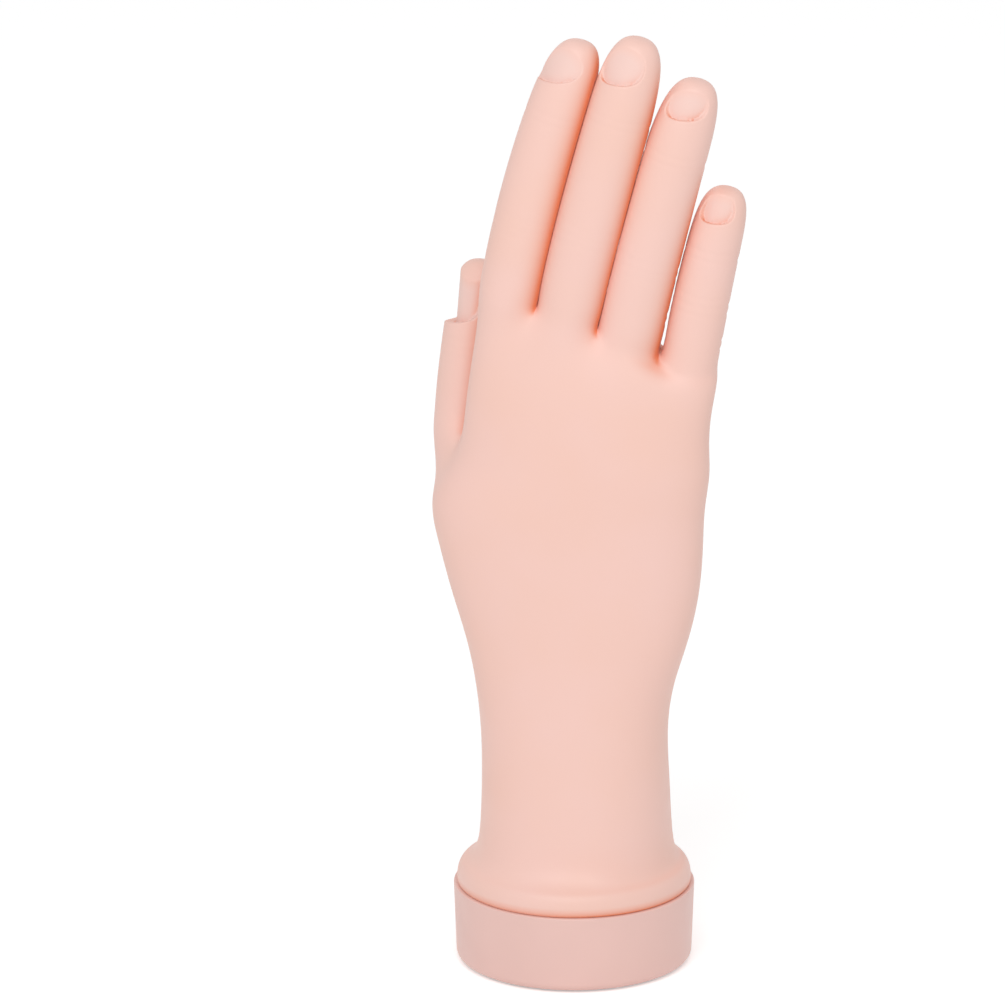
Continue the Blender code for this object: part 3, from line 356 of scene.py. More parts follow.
def add_foot(cage):
    """The spigot in the cup, the flange on its lip and the neck. Sharp edges keep their corners."""
    s = sizes()
    underside, seat, top, radius = flange_levels()
    spigot = s.cup_radius - s.cup_wall - TOUCH_GAP
    foot = (
        (spigot, underside, True),
        (spigot, seat, True),
        (radius - s.flange_edge, seat, True),
        (radius, seat + s.flange_edge, False),
        (radius, top - s.flange_round, False),
        (radius - s.flange_round * SHOULDER_IN_SHARE, top - s.flange_round * SHOULDER_DOWN_SHARE, False),
        (radius - s.flange_round, top, False),
    )
    below = None
    for size, height, sharp in foot:
        loop = cage.loop(round_loop(size, height))
        if below:
            cage.bridge(below, loop)
        else:
            cage.cap(loop)
        if sharp:
            cage.sharpen(loop)
        below = loop
    return below


def add_thumb_crotch(cage, below, thumb):
    """The loop where the thumb leaves the palm. It returns the palm's own loop, without the thumb."""
    points = palm_loop(CROTCH_SHARES)
    reach = thumb.half_width * ring_swell(RING_COUNT)
    back = [LOOP_COUNT - order for order in range(1, len(THENAR_SHARES) + 1)]
    inner = [points[order].copy() for order in back[:3]]
    for order, (aside, away) in zip(back, THENAR_SHARES):
        centre = thumb.root
        points[order] = Vector((centre.x - reach * aside, centre.y + reach * away, points[order].z))
    loop = cage.loop(points)
    cage.bridge(below, loop)
    crotch = []
    for point in inner:
        point.z += sizes().crotch_rise
        crotch.append(cage.mesh.verts.new(point))
    ring = [loop[0]] + [loop[order] for order in back] + crotch[::-1]
    cage.grow_digit(ring, thumb, len(DIGITS), THUMB_RING_START, 2 * math.pi / RING_COUNT)
    for order, vert in zip(back[:3], crotch):
        loop[order] = vert
    return loop


def web_points(left, right):
    """Dorsal, middle and palmar points of the web between two fingers."""
    centre = (left.root + right.root) / 2 + left.along * sizes().web_rise
    reach = left.half_depth - sizes().web_groove
    back = centre - left.palmar * reach - left.along * sizes().web_slope
    return back, centre, centre + left.palmar * reach


def add_knuckles(cage, below, fingers):
    """The top loop of the palm, with a web between each two fingers, and the fingers on it."""
    first, last = fingers[0], fingers[-1]
    swell = ring_swell(RING_COUNT)
    side = math.cos(math.pi / 4) * swell
    left = first.point(0, -first.half_width * swell + sizes().row_shift, 0)
    right = last.point(0, last.half_width * swell + sizes().row_shift, 0)
    dorsal = [first.point(0, -first.half_width * side, -first.half_depth * side)]
    palmar = [first.point(0, -first.half_width * side, first.half_depth * side)]
    webs = []
    for order, finger in enumerate(fingers):
        dorsal.append(finger.point(0, 0, -finger.half_depth * swell))
        palmar.append(finger.point(0, 0, finger.half_depth * swell))
        if finger is not last:
            top, centre, bottom = web_points(finger, fingers[order + 1])
            dorsal.append(top)
            palmar.append(bottom)
            webs.append(cage.mesh.verts.new(centre))
    dorsal.append(last.point(0, last.half_width * side, -last.half_depth * side))
    palmar.append(last.point(0, last.half_width * side, last.half_depth * side))
    loop = cage.loop([left] + dorsal + [right] + palmar[::-1])
    cage.bridge(below, loop)
    sides = [loop[0]] + webs + [loop[LOOP_COUNT // 2]]
    for order, finger in enumerate(fingers):
        start = 1 + 2 * order
        end = LOOP_COUNT - start + 1
        ring = [sides[order], *loop[start : start + 3], sides[order + 1], *loop[end - 3 : end]]
        cage.grow_digit(ring, finger, order + 1, math.pi, -2 * math.pi / RING_COUNT)


def add_object(name, data):
    made = bpy.data.objects.new(name, data)
    bpy.context.scene.collection.objects.link(made)
    return made


def object_of(shape, name):
    """An object of a bmesh, which isn't needed any more."""
    mesh = bpy.data.meshes.new(name)
    shape.to_mesh(mesh)
    shape.free()
    return add_object(name, mesh)


def bmesh_of(mesh):
    shape = bmesh.new()
    shape.from_mesh(mesh)
    return shape


def evaluated_mesh(source):
    bpy.context.view_layer.update()
    graph = bpy.context.evaluated_depsgraph_get()
    return bpy.data.meshes.new_from_object(source.evaluated_get(graph))


def shape_form(digits):
    """The outer skin of the whole hand as one dense closed mesh."""
    cage = Cage()
    loop = add_foot(cage)
    for shares in WRIST_SHARES:
        above = cage.loop(palm_loop(shares))
        cage.bridge(loop, above)
        loop = above
    loop = add_thumb_crotch(cage, loop, digits[-1])
    for shares in PALM_SHARES:
        points = palm_loop(shares)
        if shares is PALM_SHARES[-1]:
            for order in WEB_COLUMNS:
                points[order].y += sizes().knuckle_valley
        above = cage.loop(points)
        cage.bridge(loop, above)
        loop = above
    add_knuckles(cage, loop, digits[:-1])
    bmesh.ops.recalc_face_normals(cage.mesh, faces=cage.mesh.faces)
    source = object_of(cage.mesh, "hand_form")
    smooth = source.modifiers.new("smooth", "SUBSURF")
    smooth.levels = smooth.render_levels = sizes().detail - 0
    form = evaluated_mesh(source)
    bpy.data.objects.remove(source)
    return form


def smoothstep(low, high, values):
    share = np.clip((values - low) / (high - low), 0, 1)
    return share * share * (3 - 2 * share)


def get_array(collection, field, width=1, kind=np.float32):
    values = np.empty(len(collection) * width, kind)
    collection.foreach_get(field, values)
    return values.reshape(-1, width) if width > 1 else values


class Sculptor:
    """Presses creases into the form. It holds the points, their normals and the digit that each lies on."""

    def __init__(self, form):
        self.form = form
        self.points = get_array(form.vertices, "co", 3)
        self.normals = get_array(form.vertices, "normal", 3)
        face_digit = get_array(form.attributes["digit"].data, "value", kind=np.int32)
        corners = get_array(form.loops, "vertex_index", kind=np.int32)
        totals = get_array(form.polygons, "loop_total", kind=np.int32)
        self.digit = np.zeros(len(self.points), np.int32)
        self.digit[corners] = np.repeat(face_digit, totals)
        self.depth = np.zeros(len(self.points))
        self.shift = np.zeros((len(self.points), 3))

    def local(self, digit, number):
        """Which points lie on a digit, with their place along it, across it and towards the palm."""
        chosen = np.flatnonzero(self.digit == number)
        offset = self.points[chosen] - np.array(digit.root)
        along = offset @ np.array(digit.along)
        across = offset @ np.array(digit.across)
        palmar = offset @ np.array(digit.palmar) - digit.curl * (along / digit.length) ** 2
        return chosen, along, across, palmar

    def press(self, chosen, distance, width, depth):
        """A soft groove: deepest where the distance is nought, and gone at twice the width."""
        self.depth[chosen] = np.maximum(self.depth[chosen], depth * np.exp(-((distance / width) ** 2)))

    def tree(self, number):
        """The skin of one digit, to find its nearest places."""
        layer = self.form.attributes["digit"].data
        faces = [tuple(face.vertices) for face in self.form.polygons if layer[face.index].value == number]
        return BVHTree.FromPolygons(self.points.tolist(), faces)

    def apply(self):
        moved = self.points - self.normals * self.depth[:, None] + self.shift
        self.form.vertices.foreach_set("co", moved.astype(np.float32).ravel())
        self.form.update()


class PracticeHandCreases(bpy.types.PropertyGroup):
    """Creases of the moulded skin. All are shallow, because the mould is a smooth one."""

    knuckle_depth: length_property("Knuckle line depth", "Fine lines on the back of each joint", 0.07)
    knuckle_pitch: length_property("Knuckle line pitch", "Distance between those lines", 2.2)
    knuckle_width: length_property("Knuckle line width", "Half width of one of those lines", 0.55)
    flexion_depth: length_property("Finger crease depth", "Creases on the palm side of each joint", 0.40)
    flexion_width: length_property("Finger crease width", "Half width of one of those creases", 0.60)
    flexion_pitch: length_property("Finger crease pitch", "Distance between the two creases of a joint", 2.4)
    palm_depth: length_property("Palm line depth", "The three main lines of the palm", 0.50)
    palm_width: length_property("Palm line width", "Half width of a palm line", 0.75)


# The palm's three main lines, as shares of its half width and height: heart, head and life line
PALM_LINE_SHARES = (
    ((0.98, 0.845), (0.62, 0.858), (0.25, 0.878), (-0.12, 0.925), (-0.22, 0.985)),
    ((0.80, 0.735), (0.42, 0.790), (0.05, 0.825), (-0.30, 0.842), (-0.66, 0.848)),
    ((-0.66, 0.835), (-0.32, 0.800), (-0.08, 0.715), (0.02, 0.600), (-0.06, 0.480)),
)
CURVE_SAMPLES = 12


def smooth_curve(points):
    """Points of a Catmull-Rom curve through the given ones."""
    ends = [2 * points[0] - points[1], *points, 2 * points[-1] - points[-2]]
    curve = []
    for order in range(len(points) - 1):
        a, b, c, d = (np.array(ends[order + k]) for k in range(4))
        for step in range(CURVE_SAMPLES):
            t = step / CURVE_SAMPLES
            bend, twist = 2 * a - 5 * b + 4 * c - d, 3 * b - a - 3 * c + d
            curve.append(0.5 * (2 * b + (c - a) * t + bend * t**2 + twist * t**3))
    return np.array([*curve, points[-1]])


def distance_to_path(points, path):
    """Distance of each point to a polyline, and how far along it the nearest place is, from 0 to 1."""
    nearest = np.full(len(points), np.inf)
    place = np.zeros(len(points))
    for order in range(len(path) - 1):
        start, run = path[order], path[order + 1] - path[order]
        share = np.clip((points - start) @ run / (run @ run), 0, 1)
        gap = np.linalg.norm(points - start - share[:, None] * run, axis=1)
        closer = gap < nearest
        nearest[closer] = gap[closer]
        place[closer] = (order + share[closer]) / (len(path) - 1)
    return nearest, place


# Where the creases fade, as shares of a digit's half depth and of a palm line's length
DORSAL_FADE_SHARES = (0.15, 0.75)
PALMAR_FADE_SHARES = (-0.25, 0.35)
LINE_START_SHARE = 0.12
LINE_END_SHARE = 0.18
KNUCKLE_SPREAD_SHARE = 0.35
FLEXION_BOW_SHARE = 1 / 3
PALM_FACING = 0.1
LINE_PAIR = (-0.5, 0.5)


def press_finger_creases(sculptor, digit, number):
    """Fine lines over the back of each joint but the root, and deeper creases on the palm side."""
    c = bpy.context.scene.practice_hand_creases
    chosen, along, across, palmar = sculptor.local(digit, number)
    bow = (across / digit.half_width) ** 2
    dorsal_side = smoothstep(*DORSAL_FADE_SHARES, -palmar / digit.half_depth)
    palm_side = smoothstep(*PALMAR_FADE_SHARES, palmar / digit.half_depth)
    for order, hinge in enumerate(digit.hinges):
        if order > 0:
            for line in (-1, 0, 1) if order == 1 else LINE_PAIR:
                gap = along - hinge - line * (1 + KNUCKLE_SPREAD_SHARE * bow) * c.knuckle_pitch
                sculptor.press(chosen, gap, c.knuckle_width, c.knuckle_depth * dorsal_side)
        aside = c.flexion_pitch if order == 0 else 0
        for line in LINE_PAIR if order < len(digit.hinges) - 1 else (0,):
            gap = along - hinge - aside - (line - FLEXION_BOW_SHARE * bow) * c.flexion_pitch
            sculptor.press(chosen, gap, c.flexion_width, c.flexion_depth * palm_side)


CONTACT_GAP = 0.1 * MM
CONTACT_SOFTNESS = 0.1 * MM
CONTACT_REACH = 4.0 * MM
FACING_SHARE = 1 / 3
WEB_START = -1.5 * MM
WEB_END = 0.5 * MM


def press_fingers_apart(sculptor, digits):
    """Fingers that meet flatten against each other, as soft ones do, until a hair's breadth is left."""
    fingers = list(enumerate(digits[:-1], 1))
    trees = {number: sculptor.tree(number) for number, digit in fingers}
    for number, digit in fingers:
        chosen, along, across, palmar = sculptor.local(digit, number)
        above_web = smoothstep(WEB_START, WEB_END, along)
        for other in (number - 1, number + 1):
            if other not in trees:
                continue
            facing = (across * (other - number) > digit.half_width * FACING_SHARE) & (above_web > 0)
            for order, share in zip(chosen[facing], above_web[facing]):
                point = Vector(sculptor.points[order])
                place, normal, face, gap = trees[other].find_nearest(point, CONTACT_REACH)
                if place is None:
                    continue
                if (point - place).dot(normal) < 0:
                    gap = -gap
                squeeze = math.log1p(math.exp((CONTACT_GAP - gap) / CONTACT_SOFTNESS)) * CONTACT_SOFTNESS
                sculptor.shift[order] += np.array(normal) * squeeze * share / 2


def press_palm_lines(sculptor):
    s, c = sizes(), bpy.context.scene.practice_hand_creases
    chosen = np.flatnonzero((sculptor.digit == 0) & (sculptor.normals[:, 1] > PALM_FACING))
    flat = sculptor.points[chosen][:, [0, 2]]
    base = flange_levels()[2]
    for line in PALM_LINE_SHARES:
        path = smooth_curve([np.array((x * s.palm_half_width, base + z * s.palm_height)) for x, z in line])
        gap, place = distance_to_path(flat, path)
        fade = smoothstep(0, LINE_START_SHARE, place) * smoothstep(0, LINE_END_SHARE, 1 - place)
        sculptor.press(chosen, gap, c.palm_width, c.palm_depth * fade)


def digit_mesh(form, number):
    """A bmesh with the skin of one digit alone."""
    shape = bmesh_of(form)
    layer = shape.faces.layers.int["digit"]
    others = [face for face in shape.faces if face[layer] != number]
    bmesh.ops.delete(shape, geom=others, context="FACES")
    return shape


def trim(shape, faces, point, normal):
    """Cuts the given faces along a plane, drops what lies behind it and closes the hole with a sharp rim."""
    edges = dict.fromkeys(edge for face in faces for edge in face.edges)
    verts = dict.fromkeys(vert for face in faces for vert in face.verts)
    cut = bmesh.ops.bisect_plane(
        shape, geom=[*verts, *edges, *faces], plane_co=point, plane_no=normal, dist=WELD, clear_inner=True
    )["geom_cut"]
    rim = [item for item in cut if isinstance(item, bmesh.types.BMEdge)]
    bmesh.ops.holes_fill(shape, edges=rim, sides=0)
    for edge in rim:
        edge.smooth = False


def finish_piece(shape, name):
    """Makes an object of a closed bmesh, shaded smooth but for its marked rims."""
    bmesh.ops.recalc_face_normals(shape, faces=shape.faces)
    for face in shape.faces:
        face.smooth = True
    piece = object_of(shape, name)
    piece.data.materials.append(bpy.data.materials["soft_pvc"])
    return piece


# A bend's zone is this many times the arc that the palm side closes up by, which keeps the skin off itself
ZONE_FACTOR = 1.55
ZONE_MARGIN = 0.3 * MM


def bend_zones(digit, floor):
    """Where each bend of a digit starts and ends along it. The first one stays above the web."""
    zones = []
    for order, hinge in enumerate(digit.hinges):
        half = ZONE_FACTOR * digit.angles[order] * digit.half_depth / 2
        start = hinge - half
        if order == 0:
            start = max(start, floor + ZONE_MARGIN)
        zones.append((start, start + 2 * half))
    return zones


def web_height(digit, shape):
    """How far along a digit its own skin begins."""
    rim = [edge for edge in shape.edges if len(edge.link_faces) == 1]
    return max((vert.co - digit.root).dot(digit.along) for edge in rim for vert in edge.verts)


def seams(zones):
    """Where a digit is split: where its first bend starts, and halfway between each two bends."""
    middles = [(before[1] + after[0]) / 2 for before, after in zip(zones, zones[1:])]
    return [zones[0][0], *middles]


def bend_piece(piece, digit, order):
    """Bends a piece across one hinge, and hides the CAD fold and segment that it stands for."""
    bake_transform(piece)
    links = ("proximal", "middle", "tip") if len(digit.bends) == 3 else ("proximal", "tip")
    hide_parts(f"{digit.name}_{digit.bends[order]}_fold", f"{digit.name}_{links[order]}_skin")


# Nail beds: length and roundness of the U at the back, and how far the bed's floor follows the digit round
NAIL_BACK_SHARE = 0.60
NAIL_BACK_POWER = 3.0
NAIL_ROUNDNESS = 0.62
THUMB_NAIL_ROUNDNESS = 0.95
NAIL_FLATTENING = 0.55
FLOOR_ROLL_SHARE = 0.5
FLOOR_LEAST_LIFT = 0.3
NAIL_TIP_SHARE = 0.965
THUMB_NAIL_TIP_SHARE = 0.85
SLOT_LIFT = 0.02 * MM
SLOT_SPAN_SHARE = 0.80
SLOT_COLUMNS = 40
SLOT_ROWS = 12
END_SPARE = 1.5 * MM
SKIN_VOXEL = 0.25 * MM
SOFTEN_FACTOR = 0.5
SOFTEN_ROUNDS = 2


class NailBed:
    """The recess for a false nail on the back of a fingertip, and the slot under the fold behind it.
    Its places are given as a distance along the digit, an angle round it and a radius from its centre."""

    def __init__(self, digit, skin):
        own = digit.sizes
        thumb = digit.name == "thumb"
        self.digit = digit
        self.fold = digit.length - own.nail_length
        self.tip = digit.length * (THUMB_NAIL_TIP_SHARE if thumb else NAIL_TIP_SHARE)
        self.roll, self.span = own.nail_roll, own.nail_span / 2
        self.centre = digit.spine(self.fold)
        self.back = digit.half_width * NAIL_BACK_SHARE
        self.slant = digit.half_width * math.tan(own.nail_slant)
        self.roundness = THUMB_NAIL_ROUNDNESS if thumb else NAIL_ROUNDNESS
        self.flattening = 0 if thumb else NAIL_FLATTENING
        self.low = self.skin_height(skin, self.fold) - own.fold_height
        self.high = self.skin_height(skin, self.tip) - sizes().nail_tip_step

    def skin_height(self, skin, distance):
        start = self.centre + self.digit.along * (distance - self.fold)
        hit = skin.ray_cast(start, self.outward(self.roll * FLOOR_ROLL_SHARE))
        if hit[0] is None:
            raise ValueError(f"no skin above the nail of the {self.digit.name}")
        return hit[3]

    def outward(self, angle):
        """Direction away from the digit's centre, at an angle from the middle of its back."""
        return self.digit.across * math.sin(angle) - self.digit.palmar * math.cos(angle)

    def floor(self, distance, angle):
        """Radius of the bed. A roundness of 1 follows the digit round, and 0 is flat."""
        share = (distance - self.fold) / (self.tip - self.fold)
        middle = self.low + (self.high - self.low) * share
        roundness = self.roundness * max(0, 1 - self.flattening * max(0, share))
        lift = math.cos(angle - self.roll * FLOOR_ROLL_SHARE)
        return middle / max(FLOOR_LEAST_LIFT, lift + roundness * (1 - lift))

    def point(self, distance, angle, radius):
        return self.centre + self.digit.along * (distance - self.fold) + self.outward(angle) * radius

    def back_edge(self, share, span_share=1):
        """How far along the digit the bed starts, at a share of its span to one side."""
        curve = 1 - (1 - abs(share) ** NAIL_BACK_POWER) ** (1 / NAIL_BACK_POWER)
        return self.fold + self.back * curve + self.slant * share * span_share

    def cutter(self, name, shift, span_share, lift, thickness, front):
        """A closed block on the bed: a U from above, with its back moved towards the root by shift."""
        shape = bmesh.new()
        rows = []
        for column in range(SLOT_COLUMNS + 1):
            share = -math.cos(math.pi * column / SLOT_COLUMNS)
            angle = self.roll + self.span * span_share * share
            back = self.back_edge(share, span_share) - shift
            low, high = [], []
            for row in range(SLOT_ROWS + 1):
                distance = back + (front - back) * row / SLOT_ROWS
                radius = self.floor(distance, angle) + lift
                low.append(shape.verts.new(self.point(distance, angle, radius)))
                high.append(shape.verts.new(self.point(distance, angle, radius + thickness)))
            rows.append((low, high))
        for (low, high), (next_low, next_high) in zip(rows, rows[1:]):
            for row in range(SLOT_ROWS):
                shape.faces.new((low[row], low[row + 1], next_low[row + 1], next_low[row]))
                shape.faces.new((high[row], next_high[row], next_high[row + 1], high[row + 1]))
            for row in (0, SLOT_ROWS):
                shape.faces.new((low[row], next_low[row], next_high[row], high[row]))
        for low, high in (rows[0], rows[-1]):
            for row in range(SLOT_ROWS):
                shape.faces.new((low[row], high[row], high[row + 1], low[row + 1]))
        bmesh.ops.recalc_face_normals(shape, faces=shape.faces)
        return object_of(shape, name)

    def cutters(self):
        s = sizes()
        beyond = self.digit.length + self.digit.half_depth / 2
        above = 2 * self.digit.half_depth
        bed = self.cutter("bed_cutter", shift=0, span_share=1, lift=0, thickness=above, front=beyond)
        front = self.fold + self.back + s.slot_depth
        slot = self.cutter("slot_cutter", s.slot_depth, SLOT_SPAN_SHARE, SLOT_LIFT, s.slot_thickness, front)
        return bed, slot


def cut_nail(shape, bed):
    """Takes a nail bed and its slot out of a fingertip, and rounds the edges of the cut a little."""
    tip = object_of(shape, "fingertip")
    cutters = bed.cutters()
    for cutter in cutters:
        cut = tip.modifiers.new("cut", "BOOLEAN")
        cut.operation = "DIFFERENCE"
        cut.solver = "EXACT"
        cut.object = cutter
    remesh = tip.modifiers.new("remesh", "REMESH")
    remesh.mode = "VOXEL"
    remesh.voxel_size = SKIN_VOXEL
    soften = tip.modifiers.new("soften", "SMOOTH")
    soften.factor = SOFTEN_FACTOR
    soften.iterations = SOFTEN_ROUNDS
    carved = evaluated_mesh(tip)
    for used in (tip, *cutters):
        bpy.data.objects.remove(used)
    shape = bmesh_of(carved)
    bpy.data.meshes.remove(carved)
    return shape


def mark_recess(piece, skin):
    """Stores how far each point lies below the skin's outer form, for the material of the nail bed."""
    depths = [skin.find_nearest(vert.co)[3] / MM for vert in piece.data.vertices]
    layer = piece.data.attributes.new("recess_mm", "FLOAT", "POINT")
    layer.data.foreach_set("value", depths)


def make_digit_pieces(form, skin, digit, number):
    """The closed pieces of one digit, one for each of its hinges. The last has the nail bed."""
    names = {"root": "knuckle", "middle": "middle", "end": "fingertip"}
    floor = web_height(digit, digit_mesh(form, number))
    zones = bend_zones(digit, floor)
    planes = seams(zones)
    for order, bend in enumerate(digit.bends):
        last = order == len(digit.bends) - 1
        shape = digit_mesh(form, number)
        lower = digit.root + digit.along * planes[order]
        if last:
            spare = lower - digit.along * END_SPARE
            trim(shape, list(shape.faces), spare, digit.along)
            shape = cut_nail(shape, NailBed(digit, skin))
        trim(shape, list(shape.faces), lower, digit.along)
        if not last:
            upper = digit.root + digit.along * planes[order + 1]
            trim(shape, list(shape.faces), upper, -digit.along)
        piece = finish_piece(shape, f"{digit.name}_{names[bend]}_soft_skin")
        if last:
            mark_recess(piece, skin)
        bend_piece(piece, digit, order)


def make_hand_piece(form, digits):
    """The palm, wrist and foot flange with a stub of each digit, up to where its first bend starts."""
    shape = bmesh_of(form)
    for number, digit in enumerate(digits, 1):
        start = bend_zones(digit, web_height(digit, digit_mesh(form, number)))[0][0]
        layer = shape.faces.layers.int["digit"]
        own = [face for face in shape.faces if face[layer] == number]
        trim(shape, own, digit.root + digit.along * start, -digit.along)
    piece = finish_piece(shape, "hand_soft_skin")
    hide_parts("hand_skin")
    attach(piece, "root")


def hand_form():
    """The dense skin form. The first operator that needs it makes it, and the others share it."""
    form = bpy.data.meshes.get("hand_form_dense")
    if form:
        return form
    digits = make_digits()
    form = shape_form(digits)
    form.name = "hand_form_dense"
    sculptor = Sculptor(form)
    for number, digit in enumerate(digits, 1):
        press_finger_creases(sculptor, digit, number)
    press_palm_lines(sculptor)
    press_fingers_apart(sculptor, digits)
    sculptor.apply()
    return form


def skin_tree(form):
    points = [vert.co for vert in form.vertices]
    faces = [tuple(face.vertices) for face in form.polygons]
    return BVHTree.FromPolygons(points, faces)


TURNED_STEPS = 192
ROUND_STEPS = 8
SHARP_ANGLE = math.radians(32)
PAD_EDGE = 0.3 * MM


def turned(name, profile, material):
    """A closed profile of (radius, height) points, turned round Z, with its hard edges marked."""
    mesh = bpy.data.meshes.new(name)
    points = [(radius, 0, height) for radius, height in profile]
    edges = [(order, (order + 1) % len(points)) for order in range(len(points))]
    mesh.from_pydata(points, edges, [])
    source = add_object(name, mesh)
    turn = source.modifiers.new("turn", "SCREW")
    turn.steps = turn.render_steps = TURNED_STEPS
    turn.use_merge_vertices = True
    turn.merge_threshold = WELD
    solid = evaluated_mesh(source)
    bpy.data.objects.remove(source)
    shape = bmesh_of(solid)
    bmesh.ops.remove_doubles(shape, verts=shape.verts, dist=WELD)
    on_axis = [edge for edge in shape.edges if not edge.link_faces]
    bmesh.ops.delete(shape, geom=on_axis, context="EDGES")
    bmesh.ops.recalc_face_normals(shape, faces=shape.faces)
    shape.to_mesh(solid)
    shape.free()
    solid.shade_smooth()
    solid.set_sharp_from_angle(angle=SHARP_ANGLE)
    solid.materials.clear()
    solid.materials.append(bpy.data.materials[material])
    piece = add_object(name, solid)
    return piece


def rounded(centre, radius, start, stop):
    """Points on an arc of a profile, from one angle to another, in degrees."""
    points = []
    for step in range(ROUND_STEPS + 1):
        angle = math.radians(start + (stop - start) * step / ROUND_STEPS)
        points.append((centre[0] + radius * math.cos(angle), centre[1] + radius * math.sin(angle)))
    return points


def add_node(tree, kind, settings=(), **inputs):
    """Adds a shader node. Settings are its own fields, and inputs are values or sockets to link."""
    node = tree.nodes.new(kind)
    for field, value in dict(settings).items():
        setattr(node, field, value)
    for name, value in inputs.items():
        socket = node.inputs[int(name[1:]) if name[0] == "_" else name.replace("_", " ")]
        if isinstance(value, bpy.types.NodeSocket):
            tree.links.new(value, socket)
        else:
            socket.default_value = value
    return node


def linear(code):
    """Turns an sRGB hex value into linear red, green and blue."""
    channels = [int(code[start : start + 2], 16) / 255 for start in (0, 2, 4)]
    return [value / 12.92 if value <= 0.04045 else ((value + 0.055) / 1.055) ** 2.4 for value in channels]


def colour_property(name, description, code):
    return FloatVectorProperty(
        name=name, description=description, default=linear(code), subtype="COLOR", min=0, max=1
    )


class PracticeHandColours(bpy.types.PropertyGroup):
    """Colours of the materials."""

    skin: colour_property("Skin", "Soft PVC where it is plain", "F9CFC4")
    skin_warm: colour_property("Warm skin", "Soft PVC where its colour drifts to peach", "F8CBBA")
    skin_pale: colour_property("Nail bed", "Soft PVC in the nail beds", "F7D2C8")
    # Painted shade and glow: orange mixed into the skin between two fingers and along the flange's lower edge
    painted_crevice_shade: colour_property("Crevice", "Soft PVC between two fingers, where light goes through it", "F09066")
    cup: colour_property("Base cup", "Moulded ABS of the base cup", "EFC7BE")
    frame: colour_property("Skeleton", "Moulded ABS of the core, the post and the links", "E6E0D2")
    rubber: colour_property("Pad", "Foam rubber under the cup", "33302E")
    steel: colour_property("Zinc", "Zinc plating of the pins and screws", "C3C6C9")
    surroundings: colour_property("Surroundings", "Floor and backdrop", "FFFFFF")


def colours():
    return bpy.context.scene.practice_hand_colours


def rgba(colour):
    return (*colour, 1)


def new_material(name, roughness, ior, metallic=0):
    """A material with a Principled shader, and coordinates in the row frame in millimetres."""
    material = bpy.data.materials.new(name)
    material.use_nodes = True
    tree = material.node_tree
    shader = tree.nodes["Principled BSDF"]
    shader.inputs["Roughness"].default_value = roughness
    shader.inputs["IOR"].default_value = ior
    shader.inputs["Metallic"].default_value = metallic
    place = add_node(tree, "ShaderNodeTexCoord").outputs["Object"]
    place = add_node(tree, "ShaderNodeVectorMath", {"operation": "SCALE"}, Vector=place, Scale=1 / MM)
    return tree, shader, place.outputs["Vector"]


def noise(tree, place, size_mm, detail=2.0):
    """Noise whose patches are about as wide as the given size."""
    node = add_node(tree, "ShaderNodeTexNoise", Vector=place, Scale=1 / size_mm, Detail=detail)
    return node.outputs["Fac"]


def spread(tree, value, low, high, from_low=0.3, from_high=0.7):
    """Turns the first range of a value into the second, and keeps what lies outside at its ends."""
    ranges = {"From_Min": from_low, "From_Max": from_high, "To_Min": low, "To_Max": high}
    return add_node(tree, "ShaderNodeMapRange", Value=value, **ranges).outputs["Result"]


def mix_colour(tree, share, first, second):
    node = add_node(tree, "ShaderNodeMix", {"data_type": "RGBA"}, _0=share, _6=first, _7=second)
    return node.outputs[2]


def tint(tree, shader, colour, brightness):
    """A base colour that is lighter and darker in places."""
    tone = add_node(tree, "ShaderNodeHueSaturation", Value=brightness, Color=rgba(colour)).outputs["Color"]
    tree.links.new(tone, shader.inputs["Base Color"])


def wear(tree, shader, place, size_mm, low, high):
    """Roughness that varies in patches."""
    worn = spread(tree, noise(tree, place, size_mm, detail=4), low, high)
    tree.links.new(worn, shader.inputs["Roughness"])


def bumps(tree, shader, height, strength, depth_mm):
    bump = add_node(tree, "ShaderNodeBump", Strength=strength, Distance=depth_mm * MM, Height=height)
    tree.links.new(bump.outputs["Normal"], shader.inputs["Normal"])


LEE_SIDE = (1, 0, 0)
# Reach of the ambient occlusion that masks the painted shade and glow between two fingers
CREVICE_SHADE_REACH = 12 * MM
# How much painted glow and shade the flange's lower edge gets, and the heights above the seat where it fades
SEAM_PAINTED_GLOW = 0.5
SEAM_LOW_MM = 0.4
SEAM_HIGH_MM = 2.2


